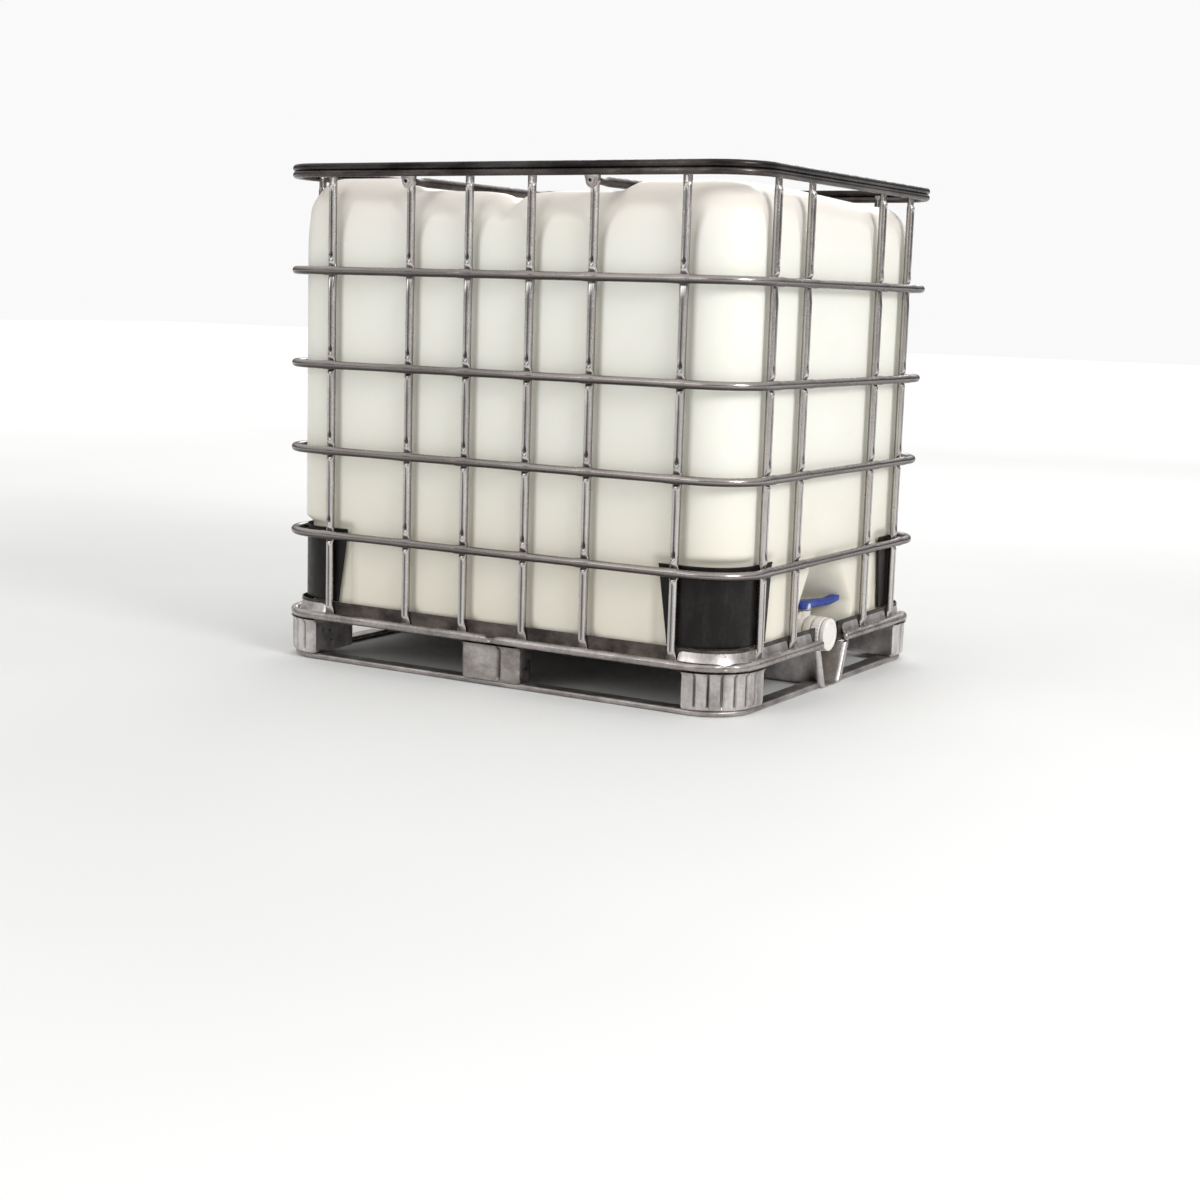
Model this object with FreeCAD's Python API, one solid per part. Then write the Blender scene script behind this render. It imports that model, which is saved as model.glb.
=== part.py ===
"""Caged intermediate bulk container on a steel pallet, as separate pieces.

Millimetres, +Z up, origin at the middle of the footprint on the floor.
+X points to the outlet valve, and Y runs across the container.
"""
import FreeCAD, Part
import math
import os

V = FreeCAD.Vector
Z_AXIS = V(0, 0, 1)
X_AXIS = V(1, 0, 0)
Y_AXIS = V(0, 1, 0)

# How far a cutter, or a piece to be joined, runs past the face it meets
OVER = 1.0

# Overall size
LENGTH = 1200.0
WIDTH = 1000.0
HEIGHT = 1110.0
HALF_X = LENGTH / 2
HALF_Y = WIDTH / 2
CORNER_R = 115.0

# Cage tubes
TUBE_R = 9.0
TUBE_WALL = 1.2
RING_HEIGHTS = [290.0, 480.0, 671.0, 878.0]
LONG_POSTS = [78.0, 230.0, 443.0]
SHORT_POSTS = [187.0, 347.0]
POST_INSET = 21.5
POST_BOTTOM = 103.0
POST_TOP = 1096.0
PINCH = 15.0

# Top frame: two tubes stacked as one profile
FRAME_TUBE_R = 7.8
FRAME_WALL = 1.3
FRAME_TOP_Z = HEIGHT - FRAME_TUBE_R
FRAME_LOW_Z = FRAME_TOP_Z - 14.4

# Bars across the top
BAR_X = 230.0
BAR_Z = 1070.0
BAR_END = 469.0
BAR_PLUG = 30.0
LUG_HALF = 15.0
LUG_FACE = HALF_Y - 5.0
SCREW_R = 4.0
SCREW_HEAD_R = 8.5
SCREW_HOLE_R = 4.2
SCREW_HEAD_GAP = 0.4
SCREW_TIP_GAP = 4.0

# Pallet
RIM_R = 10.0
RIM_Z = 102.0
RIM_GAP = 60.0
SHEET = 2.5
FLOOR_Z = 89.0
WALL_TOP = 136.0
WALL_INSET = 31.0
FLANGE_Z = 100.4
NOTCH_HALF = 62.0
NOTCH_X = 392.0
SKID_HEIGHT = 14.0
SKID_WIDTH = 40.0
FOOT_INSET = 6.0
FOOT_TOP = FLOOR_Z - SHEET
CORNER_FOOT = (130.0, 146.0)
SIDE_FOOT_HALF = 80.0
SIDE_FOOT_DEPTH = 92.0
REAR_FOOT_HALF = 72.0
FOOT_WALL = 3.0
FOOT_CORNER_R = 12.0
SUPPORT_TOP_HALF = 66.0
SUPPORT_LOW_HALF = 34.0
SUPPORT_BACK = 432.0
SUPPORT_FRONT = 594.0
SUPPORT_FLANGE = 11.0

# Corner guards
GUARD_INSET = 31.0
GUARD_WALL = 3.4
GUARD_R = 100.0
GUARD_BOTTOM = WALL_TOP + 1.0
GUARD_TOP = 304.0
GUARD_LONG = (168.0, 143.0)
GUARD_SHORT = (186.0, 168.0)

# Bottle
BOTTLE_HALF_X = 563.0
BOTTLE_HALF_Y = 463.0
BOTTLE_BOTTOM = 92.0
BOTTLE_MID_TOP = 1048.0
BOTTLE_PAD_TOP = 1072.0
PAD_START = 256.0
PAD_SLOPE = 44.0
BOTTLE_CORNER_R = 125.0
BOTTLE_TOP_R = 70.0
BOTTLE_LOW_R = 40.0
BOTTLE_WALL = 3.0
POCKET_X = 430.0
POCKET_TOP = 290.0
POCKET_SLOPE_Z = 150.0
POCKET_TOP_HALF = 30.0
POCKET_HALF = 150.0
POCKET_KNEE_Z = 170.0

# Filler neck and cap
NECK_R = 75.0
NECK_BORE_R = 68.5
NECK_TOP = 1063.0
CAP_R = 82.0
CAP_SKIRT_Z = 1050.6
CAP_INSIDE_Z = 1066.3
CAP_TOP = 1073.0
VENT_R = 12.0
VENT_HEAD_R = 17.0
VENT_HEAD_TOP = 1077.0
GASKET_INSET = 0.5

# Outlet valve, on an axis along X
VALVE_Z = 113.0
BALL_X = 515.0
BALL_R = 29.0
BORE_R = 20.0
OUTLET_R = 30.0
OUTLET_BORE_R = 26.0
OUTLET_INNER_X = 400.0
OUTLET_END_X = 462.0
NUT_R = 44.0
NUT_X = (453.0, 482.0)
BODY_R = 37.0
COLLAR_R = 38.5
BODY_FLANGE_R = 34.0
BODY_FLANGE_THICK = 6.0
BODY_THROAT_R = 28.0
BODY_BACK_X = BALL_X - 31.0
BODY_FRONT_X = BALL_X + 12.0
GROOVE_END_X = BALL_X + 16.0
COLLAR_END_X = BALL_X + 31.0
SPIGOT_END_X = 574.0
SEAT_R = 25.0
SEAT_HALF_GAP = 18.0
SEAT_OUT = 27.0
STEM_R = 7.0
STEM_HEAD_R = 10.0
STEM_BOTTOM = VALVE_Z + 21.0
STEM_TOP = 174.0
TONGUE_HALF = 3.0
SEAL_DEPTH = 5.0
SEAL_INSET = 0.5
BOSS_R = 16.0
BOSS_TOP = 161.0
RUN_CLEAR = 0.05
BODY_GAP = 0.4

# Lever
LEVER_LOW = 164.0
LEVER_TOP = 178.0
LEVER_LENGTH = 120.0
LEVER_BACK = 26.0
LEVER_WIDTH = 26.0
LEVER_THICK = 7.0
GRIP_INSET = 4.0
GRIP_RISE = 6.0
LEVER_SCREW_R = 3.0
LEVER_SCREW_HEAD_R = 6.5
LEVER_SCREW_HEAD = 4.0

# Outlet cap
OUTLET_CAP_R = 38.0
OUTLET_CAP_X = (551.0, 583.0)
OUTLET_CAP_FACE = 5.3


def save(shape, node):
    """Write one sub-part as parts/NODE.step."""
    shape.exportStep("parts/%s.step" % node)


def box(x0, x1, y0, y1, z0, z1):
    """A box between two corners."""
    return Part.makeBox(x1 - x0, y1 - y0, z1 - z0, V(x0, y0, z0))


def rod(radius, start, end):
    """A cylinder from one point to another."""
    along = V(*end) - V(*start)
    return Part.makeCylinder(radius, along.Length, V(*start), along)


def joined(shapes):
    """One solid from shapes that meet."""
    first = shapes[0]
    return first.multiFuse(shapes[1:]).removeSplitter()


def prism(points, along):
    """A closed polygon pushed along a vector."""
    corners = [V(*point) for point in points]
    wire = Part.makePolygon(corners + [corners[0]])
    return Part.Face(wire).extrude(V(*along))


def rounded_outline(half_x, half_y, radius, z):
    """A rectangle with round corners, as one closed wire."""
    straight_x = half_x - radius
    straight_y = half_y - radius
    edges = []
    for turn in range(4):
        angle = math.radians(90 * turn)
        along_x = straight_x if turn in (0, 3) else -straight_x
        along_y = straight_y if turn in (0, 1) else -straight_y
        centre = V(along_x, along_y, z)
        ends = [centre + V(math.cos(angle + step) * radius, math.sin(angle + step) * radius, 0)
                for step in (0, math.pi / 4, math.pi / 2)]
        edges.append(Part.Arc(*ends).toShape())
    count = len(edges)
    for index in range(count):
        start = edges[index].Vertexes[-1].Point
        end = edges[(index + 1) % count].Vertexes[0].Point
        edges.append(Part.makeLine(start, end))
    return Part.Wire(Part.__sortEdges__(edges))


def rounded_block(half_x, half_y, radius, z0, z1):
    """A plate or block with round vertical corners."""
    face = Part.Face(rounded_outline(half_x, half_y, radius, z0))
    return face.extrude(V(0, 0, z1 - z0))


def disc(radius, z):
    """A round face in the XZ plane at x = 0."""
    return Part.Face(Part.Wire(Part.makeCircle(radius, V(0, 0, z), Y_AXIS)))


def tube_section(radius, wall, heights):
    """The section of one tube, or of a welded stack of tubes, in the XZ plane at x = 0."""
    section = disc(radius, heights[0])
    for z in heights[1:]:
        section = section.fuse(disc(radius, z)).removeSplitter()
    if wall:
        for z in heights:
            section = section.cut(disc(radius - wall, z))
    return section.Faces[0]


def loop(section, half_x, half_y, corner_r):
    """Carry a section, drawn at x = 0 in the XZ plane, round a rounded rectangle."""
    pieces = []
    for turn in range(4):
        across, reach = (half_x, half_y) if turn % 2 == 0 else (half_y, half_x)
        straight = reach - corner_r
        side = section.copy()
        side.translate(V(across, -straight, 0))
        pieces.append(side.extrude(V(0, 2 * straight, 0)))
        bend = section.copy()
        bend.translate(V(across, straight, 0))
        pieces.append(bend.revolve(V(across - corner_r, straight, 0), Z_AXIS, 90))
        for piece in pieces[-2:]:
            piece.rotate(V(0, 0, 0), Z_AXIS, 90 * turn)
    return joined(pieces)


def ring_tube(z, radius, wall):
    """A tube bent round the container, with its outer face on the footprint."""
    section = tube_section(radius, wall, [z])
    return loop(section, HALF_X - radius, HALF_Y - radius, CORNER_R - radius)


def top_frame(wall):
    """The stacked pair of tubes along the top edge."""
    section = tube_section(FRAME_TUBE_R, wall, [FRAME_LOW_Z, FRAME_TOP_Z])
    inset = FRAME_TUBE_R
    return loop(section, HALF_X - inset, HALF_Y - inset, CORNER_R - inset)


def rim_tube(wall):
    """The pallet's rim tube, open in front of the valve."""
    gap = box(0, HALF_X + OVER, -RIM_GAP, RIM_GAP, RIM_Z - 2 * RIM_R, RIM_Z + 2 * RIM_R)
    return ring_tube(RIM_Z, RIM_R, wall).cut(gap)


def post_bore():
    """The hollow of a post, left solid where the tube is pinched at each ring."""
    edges = [POST_BOTTOM + PINCH]
    for height in RING_HEIGHTS:
        edges += [height - PINCH, height + PINCH]
    edges.append(BAR_Z - LUG_HALF - PINCH)
    bores = []
    for low, high in zip(edges[0::2], edges[1::2]):
        bores.append(rod(TUBE_R - TUBE_WALL, (0, 0, low), (0, 0, high)))
    return Part.makeCompound(bores)


def post(x, y, crossed):
    """One upright at (x, y), notched where it is welded to the rings and rims."""
    tube = rod(TUBE_R, (0, 0, POST_BOTTOM), (0, 0, POST_TOP)).cut(post_bore())
    tube.translate(V(x, y, 0))
    return tube.cut(crossed)


def lug(x, side):
    """The flat ear at the top of a post that carries a bar's screw."""
    inner = side * (HALF_Y - POST_INSET)
    outer = side * LUG_FACE
    ear = rod(LUG_HALF, (x, inner, BAR_Z), (x, outer, BAR_Z))
    low, high = sorted((inner, outer))
    neck = box(x - LUG_HALF, x + LUG_HALF, low, high, BAR_Z, FRAME_LOW_Z)
    return ear.fuse(neck)


def make_posts(crossed):
    """Six posts along each long side and four along each short side."""
    for side, face in ((-1, "right"), (1, "left")):
        y = side * (HALF_Y - POST_INSET)
        places = sorted([-x for x in LONG_POSTS] + LONG_POSTS)
        for number, x in enumerate(places, 1):
            body = post(x, y, crossed)
            if abs(x) == BAR_X:
                ear = lug(x, side).cut(crossed)
                hole = rod(SCREW_HOLE_R, (x, side * (BAR_END - OVER), BAR_Z), (x, side * HALF_Y, BAR_Z))
                body = body.fuse(ear).removeSplitter().cut(hole)
            save(body, "%s_post_%d" % (face, number))
    for side, face in ((-1, "rear"), (1, "front")):
        x = side * (HALF_X - POST_INSET)
        places = sorted([-y for y in SHORT_POSTS] + SHORT_POSTS)
        for number, y in enumerate(places, 1):
            save(post(x, y, crossed), "%s_post_%d" % (face, number))


def make_cage():
    """Four rings, the top frame and the posts they are welded to."""
    solid_rings = []
    for number, z in enumerate(RING_HEIGHTS, 1):
        save(ring_tube(z, TUBE_R, TUBE_WALL), "cage_ring_%d" % number)
        solid_rings.append(ring_tube(z, TUBE_R, 0))
    save(top_frame(FRAME_WALL), "cage_top_frame")
    solid_rings.append(top_frame(0))
    solid_rings.append(ring_tube(RIM_Z, RIM_R, 0))
    make_posts(Part.makeCompound(solid_rings))


def bar_screw(x, side):
    """A round-headed screw through a post's ear into the end of a bar."""
    tip = (x, side * (BAR_END - BAR_PLUG + SCREW_TIP_GAP), BAR_Z)
    seat = (x, side * LUG_FACE, BAR_Z)
    head_end = (x, side * (HALF_Y - SCREW_HEAD_GAP), BAR_Z)
    head = rod(SCREW_HEAD_R, seat, head_end)
    return head.fuse(rod(SCREW_R, tip, seat)).removeSplitter()


def make_bars():
    """Two tubes across the top, with a tapped plug in each end, and their screws."""
    screws = []
    for x, place in ((-BAR_X, "rear"), (BAR_X, "front")):
        bar = rod(TUBE_R, (x, -BAR_END, BAR_Z), (x, BAR_END, BAR_Z))
        hollow = BAR_END - BAR_PLUG
        bar = bar.cut(rod(TUBE_R - TUBE_WALL, (x, -hollow, BAR_Z), (x, hollow, BAR_Z)))
        for side in (-1, 1):
            tapped = rod(SCREW_R, (x, side * hollow, BAR_Z), (x, side * BAR_END, BAR_Z))
            bar = bar.cut(tapped)
            screws.append(bar_screw(x, side))
        save(bar, "%s_crossbar" % place)
    save(Part.makeCompound(screws), "crossbar_screws")


def make_tray():
    """The pressed pan that the bottle stands in, with a flange out to the rim tube."""
    wall_x = HALF_X - WALL_INSET
    wall_y = HALF_Y - WALL_INSET
    radius = CORNER_R - WALL_INSET
    under = FLOOR_Z - SHEET
    pan = rounded_block(wall_x, wall_y, radius, under, WALL_TOP)
    inside = rounded_block(wall_x - SHEET, wall_y - SHEET, radius - SHEET, FLOOR_Z, WALL_TOP + OVER)
    flange = rounded_block(HALF_X - RIM_R, HALF_Y - RIM_R, CORNER_R - RIM_R,
                           FLANGE_Z, FLANGE_Z + SHEET)
    tray = pan.fuse(flange).cut(inside)
    tray = tray.cut(ring_tube(RIM_Z, RIM_R, 0))
    notch = box(NOTCH_X, HALF_X + OVER, -NOTCH_HALF, NOTCH_HALF, under - OVER, WALL_TOP + OVER)
    save(tray.cut(notch), "pallet_tray")


def skid_loop():
    """The flat strip that lies on the floor under the feet."""
    low_r = SKID_HEIGHT / 2
    half = SKID_WIDTH / 2
    flat = Part.Face(Part.makePolygon([V(low_r - half, 0, 0), V(half - low_r, 0, 0),
                                       V(half - low_r, 0, SKID_HEIGHT),
                                       V(low_r - half, 0, SKID_HEIGHT), V(low_r - half, 0, 0)]))
    section = flat
    for side in (-1, 1):
        centre = V(side * (half - low_r), 0, low_r)
        section = section.fuse(Part.Face(Part.Wire(Part.makeCircle(low_r, centre, Y_AXIS))))
    section = section.removeSplitter().Faces[0]
    inset = FOOT_INSET + half
    return loop(section, HALF_X - inset, HALF_Y - inset, CORNER_R - inset)


def corner_foot():
    """A pressed foot at the corner with positive x and y, open underneath."""
    size_x, size_y = CORNER_FOOT
    outer_x = HALF_X - FOOT_INSET
    outer_y = HALF_Y - FOOT_INSET
    radius = CORNER_R - FOOT_INSET
    corner = rounded_block(outer_x, outer_y, radius, SKID_HEIGHT, FOOT_TOP)
    inner = rounded_block(outer_x - FOOT_WALL, outer_y - FOOT_WALL, radius - FOOT_WALL,
                          SKID_HEIGHT - OVER, FOOT_TOP - FOOT_WALL)
    keep = box(outer_x - size_x, outer_x, outer_y - size_y, outer_y, 0, FOOT_TOP)
    core = box(outer_x - size_x + FOOT_WALL, outer_x, outer_y - size_y + FOOT_WALL, outer_y,
               0, FOOT_TOP)
    return corner.common(keep).cut(inner.common(core))


def upright_rounded(block, radius):
    """A box with its four upright edges rounded."""
    edges = [edge for edge in block.Edges
             if abs(edge.tangentAt(edge.FirstParameter).z) > 0.9]
    return block.makeFillet(radius, edges)


def side_foot(half_width, depth, reach):
    """A foot in the middle of the side at positive y, open underneath."""
    outer = box(-half_width, half_width, reach - depth, reach, SKID_HEIGHT, FOOT_TOP)
    inner = box(-half_width + FOOT_WALL, half_width - FOOT_WALL, reach - depth + FOOT_WALL,
                reach - FOOT_WALL, SKID_HEIGHT - OVER, FOOT_TOP - FOOT_WALL)
    outer = upright_rounded(outer, FOOT_CORNER_R)
    return outer.cut(upright_rounded(inner, FOOT_CORNER_R - FOOT_WALL))


def make_feet():
    """Four corner feet, two side feet and one rear foot."""
    for number, (mirror_x, mirror_y) in enumerate(((1, -1), (1, 1), (-1, 1), (-1, -1)), 1):
        foot = corner_foot()
        if mirror_x < 0:
            foot = foot.mirror(V(0, 0, 0), X_AXIS)
        if mirror_y < 0:
            foot = foot.mirror(V(0, 0, 0), Y_AXIS)
        save(foot, "corner_foot_%d" % number)
    reach = HALF_Y - FOOT_INSET
    left = side_foot(SIDE_FOOT_HALF, SIDE_FOOT_DEPTH, reach)
    save(left, "side_foot_left")
    save(left.mirror(V(0, 0, 0), Y_AXIS), "side_foot_right")
    rear = side_foot(REAR_FOOT_HALF, SIDE_FOOT_DEPTH, HALF_X - FOOT_INSET)
    rear.rotate(V(0, 0, 0), Z_AXIS, 90)
    save(rear, "rear_foot")


def trough(grow, x0, x1):
    """The V-shaped outline of the valve support, larger by grow, from x0 to x1."""
    top = FOOT_TOP
    points = [(x0, -SUPPORT_TOP_HALF - grow, top), (x0, SUPPORT_TOP_HALF + grow, top),
              (x0, SUPPORT_LOW_HALF + grow, 0), (x0, -SUPPORT_LOW_HALF - grow, 0)]
    return prism(points, (x1 - x0, 0, 0))


def make_valve_support():
    """The open trough under the valve that carries the front edge of the pallet."""
    shell = trough(0, SUPPORT_BACK, SUPPORT_FRONT)
    flange = trough(SUPPORT_FLANGE, SUPPORT_FRONT - SHEET, SUPPORT_FRONT)
    hollow = trough(-SHEET, SUPPORT_BACK - OVER, SUPPORT_FRONT + OVER)
    hollow.translate(V(0, 0, SHEET))
    save(shell.fuse(flange).cut(hollow), "front_valve_support")
    return trough(SUPPORT_FLANGE, SUPPORT_BACK, HALF_X)


def make_pallet():
    """Tray, rim tube, feet, valve support and the skid under them."""
    make_tray()
    save(rim_tube(TUBE_WALL), "pallet_rim_tube")
    make_feet()
    support = make_valve_support()
    save(skid_loop().cut(support), "skid_frame")


def corner_guard():
    """The moulded guard round the bottle's foot at the corner with positive x and y."""
    outer_x = HALF_X - GUARD_INSET
    outer_y = HALF_Y - GUARD_INSET
    shell = rounded_block(outer_x, outer_y, GUARD_R, GUARD_BOTTOM, GUARD_TOP)
    inner = rounded_block(outer_x - GUARD_WALL, outer_y - GUARD_WALL, GUARD_R - GUARD_WALL,
                          GUARD_BOTTOM - OVER, GUARD_TOP + OVER)
    wide = outer_x - GUARD_LONG[0]
    narrow = outer_x - GUARD_LONG[1]
    along_long = prism([(wide, 0, GUARD_TOP), (narrow, 0, GUARD_BOTTOM),
                        (HALF_X, 0, GUARD_BOTTOM), (HALF_X, 0, GUARD_TOP)], (0, HALF_Y, 0))
    wide = outer_y - GUARD_SHORT[0]
    narrow = outer_y - GUARD_SHORT[1]
    along_short = prism([(0, wide, GUARD_TOP), (0, narrow, GUARD_BOTTOM),
                         (0, HALF_Y, GUARD_BOTTOM), (0, HALF_Y, GUARD_TOP)], (HALF_X, 0, 0))
    return shell.cut(inner).common(along_long).common(along_short)


def make_guards():
    """The same guard at each of the four corners."""
    for number, (mirror_x, mirror_y) in enumerate(((1, -1), (1, 1), (-1, 1), (-1, -1)), 1):
        guard = corner_guard()
        if mirror_x < 0:
            guard = guard.mirror(V(0, 0, 0), X_AXIS)
        if mirror_y < 0:
            guard = guard.mirror(V(0, 0, 0), Y_AXIS)
        save(guard, "corner_guard_%d" % number)


def edges_at(shape, z):
    """The edges that lie level at one height."""
    return [edge for edge in shape.Edges
            if abs(edge.BoundBox.ZMin - z) < 0.01 and abs(edge.BoundBox.ZMax - z) < 0.01]


def bottle_form(inset):
    """The bottle's shape, moved in from its outer face by inset."""
    top = BOTTLE_PAD_TOP - inset
    bottom = BOTTLE_BOTTOM + inset
    form = rounded_block(BOTTLE_HALF_X - inset, BOTTLE_HALF_Y - inset,
                         BOTTLE_CORNER_R - inset, bottom, top)
    form = form.makeFillet(BOTTLE_TOP_R - inset, edges_at(form, top))
    form = form.makeFillet(BOTTLE_LOW_R - inset, edges_at(form, bottom))
    middle = BOTTLE_MID_TOP - inset
    start = PAD_START + inset
    end = start + PAD_SLOPE
    saddle = prism([(-end, -HALF_Y, top + OVER), (-start, -HALF_Y, middle),
                    (start, -HALF_Y, middle), (end, -HALF_Y, top + OVER)], (0, WIDTH, 0))
    form = form.cut(saddle)
    back = POCKET_X - inset
    slope_top = POCKET_TOP + inset
    slope_low = POCKET_SLOPE_Z + inset
    low = BOTTLE_BOTTOM - 20
    wedge = prism([(HALF_X, -HALF_Y, slope_top), (BOTTLE_HALF_X - inset, -HALF_Y, slope_top),
                   (back, -HALF_Y, slope_low), (back, -HALF_Y, low), (HALF_X, -HALF_Y, low)],
                  (0, WIDTH, 0))
    half_top = POCKET_TOP_HALF + inset
    half = POCKET_HALF + inset
    knee = POCKET_KNEE_Z + inset
    arch = prism([(back, -half_top, slope_top), (back, -half, knee), (back, -half, low),
                  (back, half, low), (back, half, knee), (back, half_top, slope_top)],
                 (HALF_X - back, 0, 0))
    return form.cut(wedge.common(arch))


def make_bottle():
    """The blow-moulded bottle, with its filler neck and its outlet neck."""
    middle = BOTTLE_MID_TOP - BOTTLE_WALL
    outer = bottle_form(0)
    outer = outer.fuse(rod(NECK_R, (0, 0, middle), (0, 0, NECK_TOP)))
    outer = outer.fuse(rod(OUTLET_R, (OUTLET_INNER_X, 0, VALVE_Z), (OUTLET_END_X, 0, VALVE_Z)))
    bottle = outer.cut(bottle_form(BOTTLE_WALL))
    bottle = bottle.cut(rod(NECK_BORE_R, (0, 0, middle - OVER), (0, 0, NECK_TOP + OVER)))
    outlet_start = OUTLET_INNER_X + BOTTLE_WALL
    outlet = rod(OUTLET_BORE_R, (outlet_start, 0, VALVE_Z), (OUTLET_END_X + OVER, 0, VALVE_Z))
    save(bottle.cut(outlet), "bottle")


def make_filler_cap():
    """The screw cap with its gasket and its vent plug."""
    cap = rod(CAP_R, (0, 0, CAP_SKIRT_Z), (0, 0, CAP_TOP))
    cap = cap.cut(rod(NECK_R + BODY_GAP, (0, 0, CAP_SKIRT_Z - OVER), (0, 0, CAP_INSIDE_Z)))
    cap = cap.cut(rod(VENT_R, (0, 0, CAP_INSIDE_Z - OVER), (0, 0, CAP_TOP + OVER)))
    save(cap, "filler_cap")
    gasket = rod(NECK_R - GASKET_INSET, (0, 0, NECK_TOP + BODY_GAP), (0, 0, CAP_INSIDE_Z - BODY_GAP))
    bore = rod(NECK_BORE_R + GASKET_INSET, (0, 0, NECK_TOP), (0, 0, CAP_TOP))
    save(gasket.cut(bore), "filler_gasket")
    plug = rod(VENT_R, (0, 0, CAP_INSIDE_Z), (0, 0, CAP_TOP))
    head = rod(VENT_HEAD_R, (0, 0, CAP_TOP), (0, 0, VENT_HEAD_TOP))
    save(plug.fuse(head).removeSplitter(), "vent_plug")


def along_valve(radius, x0, x1):
    """A cylinder on the valve's axis between two stations."""
    return rod(radius, (x0, 0, VALVE_Z), (x1, 0, VALVE_Z))


def make_valve_body():
    """The valve's white body, from the clamped flange to the threaded spigot."""
    flange_x = OUTLET_END_X + BODY_GAP
    outside = joined([
        along_valve(BODY_FLANGE_R, flange_x, flange_x + BODY_FLANGE_THICK),
        along_valve(BODY_THROAT_R, flange_x, BODY_BACK_X + OVER),
        along_valve(BODY_R, BODY_BACK_X, BODY_FRONT_X),
        along_valve(BODY_FLANGE_R, BODY_FRONT_X - OVER, GROOVE_END_X),
        along_valve(COLLAR_R, GROOVE_END_X - OVER, COLLAR_END_X),
        along_valve(OUTLET_R, COLLAR_END_X - OVER, SPIGOT_END_X),
        rod(BOSS_R, (BALL_X, 0, VALVE_Z), (BALL_X, 0, BOSS_TOP)),
    ])
    inside = joined([
        along_valve(BORE_R, flange_x - OVER, SPIGOT_END_X + OVER),
        along_valve(SEAT_OUT, BALL_X - SEAT_R, BALL_X + SEAT_R),
        Part.makeSphere(BALL_R + BODY_GAP, V(BALL_X, 0, VALVE_Z)),
        rod(STEM_R + RUN_CLEAR, (BALL_X, 0, VALVE_Z), (BALL_X, 0, BOSS_TOP + OVER)),
        rod(STEM_HEAD_R + RUN_CLEAR, (BALL_X, 0, BOSS_TOP - SEAL_DEPTH),
            (BALL_X, 0, BOSS_TOP + OVER)),
    ])
    save(outside.cut(inside), "valve_body")


def make_seats():
    """The two plastic rings that the ball turns against."""
    ball = Part.makeSphere(BALL_R + RUN_CLEAR, V(BALL_X, 0, VALVE_Z))
    seats = []
    for side in (-1, 1):
        near = BALL_X + side * SEAT_HALF_GAP
        far = BALL_X + side * SEAT_R
        ring = along_valve(SEAT_OUT, near, far).cut(along_valve(BORE_R, 0, HALF_X))
        seats.append(ring.cut(ball))
    save(Part.makeCompound(seats), "valve_seats")


def make_ball_and_stem():
    """The bored ball, and the stem whose tongue sits in the ball's slot."""
    middle = V(BALL_X, 0, VALVE_Z)
    ball = Part.makeSphere(BALL_R, middle)
    ball = ball.cut(rod(BORE_R, (BALL_X, -2 * BALL_R, VALVE_Z), (BALL_X, 2 * BALL_R, VALVE_Z)))
    tongue = box(BALL_X - TONGUE_HALF, BALL_X + TONGUE_HALF, -STEM_R, STEM_R,
                 STEM_BOTTOM, VALVE_Z + BALL_R + OVER)
    save(ball.cut(tongue), "valve_ball")
    stem = rod(STEM_R, (BALL_X, 0, VALVE_Z + BALL_R), (BALL_X, 0, STEM_TOP))
    save(stem.fuse(tongue.common(rod(STEM_R, (BALL_X, 0, 0), (BALL_X, 0, STEM_TOP)))),
         "valve_stem")
    seal = rod(STEM_HEAD_R, (BALL_X, 0, BOSS_TOP - SEAL_DEPTH), (BALL_X, 0, BOSS_TOP - SEAL_INSET))
    seal = seal.cut(rod(STEM_R + RUN_CLEAR, (BALL_X, 0, 0), (BALL_X, 0, HEIGHT)))
    save(seal, "stem_seal")


def make_lever():
    """The blue quarter-turn lever, held on the stem by a screw."""
    half = LEVER_WIDTH / 2
    hub = rod(BOSS_R, (BALL_X, 0, LEVER_LOW), (BALL_X, 0, LEVER_TOP))
    low = LEVER_TOP - LEVER_THICK
    arm = box(BALL_X - half, BALL_X + half, -LEVER_BACK, LEVER_LENGTH - half, low, LEVER_TOP)
    end = rod(half, (BALL_X, LEVER_LENGTH - half, low), (BALL_X, LEVER_LENGTH - half, LEVER_TOP))
    grip = rod(half - GRIP_INSET, (BALL_X, LEVER_LENGTH - half, LEVER_TOP),
               (BALL_X, LEVER_LENGTH - half, LEVER_TOP + GRIP_RISE))
    lever = joined([hub, arm, end, grip])
    lever = lever.cut(rod(STEM_R, (BALL_X, 0, 0), (BALL_X, 0, STEM_TOP)))
    lever = lever.cut(rod(LEVER_SCREW_R, (BALL_X, 0, 0), (BALL_X, 0, HEIGHT)))
    save(lever, "valve_lever")
    head = rod(LEVER_SCREW_HEAD_R, (BALL_X, 0, LEVER_TOP), (BALL_X, 0, LEVER_TOP + LEVER_SCREW_HEAD))
    shank = rod(LEVER_SCREW_R, (BALL_X, 0, STEM_TOP), (BALL_X, 0, LEVER_TOP))
    save(head.fuse(shank).removeSplitter(), "lever_screw")


def make_union_nut():
    """The ring nut that clamps the valve's flange to the bottle's outlet neck."""
    flange_x = OUTLET_END_X + BODY_GAP
    nut = along_valve(NUT_R, *NUT_X)
    nut = nut.cut(along_valve(BODY_FLANGE_R, OUTLET_END_X, flange_x + BODY_FLANGE_THICK))
    nut = nut.cut(along_valve(OUTLET_R, NUT_X[0] - OVER, flange_x))
    save(nut.cut(along_valve(BODY_THROAT_R, flange_x, NUT_X[1] + OVER)), "outlet_union_nut")


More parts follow.
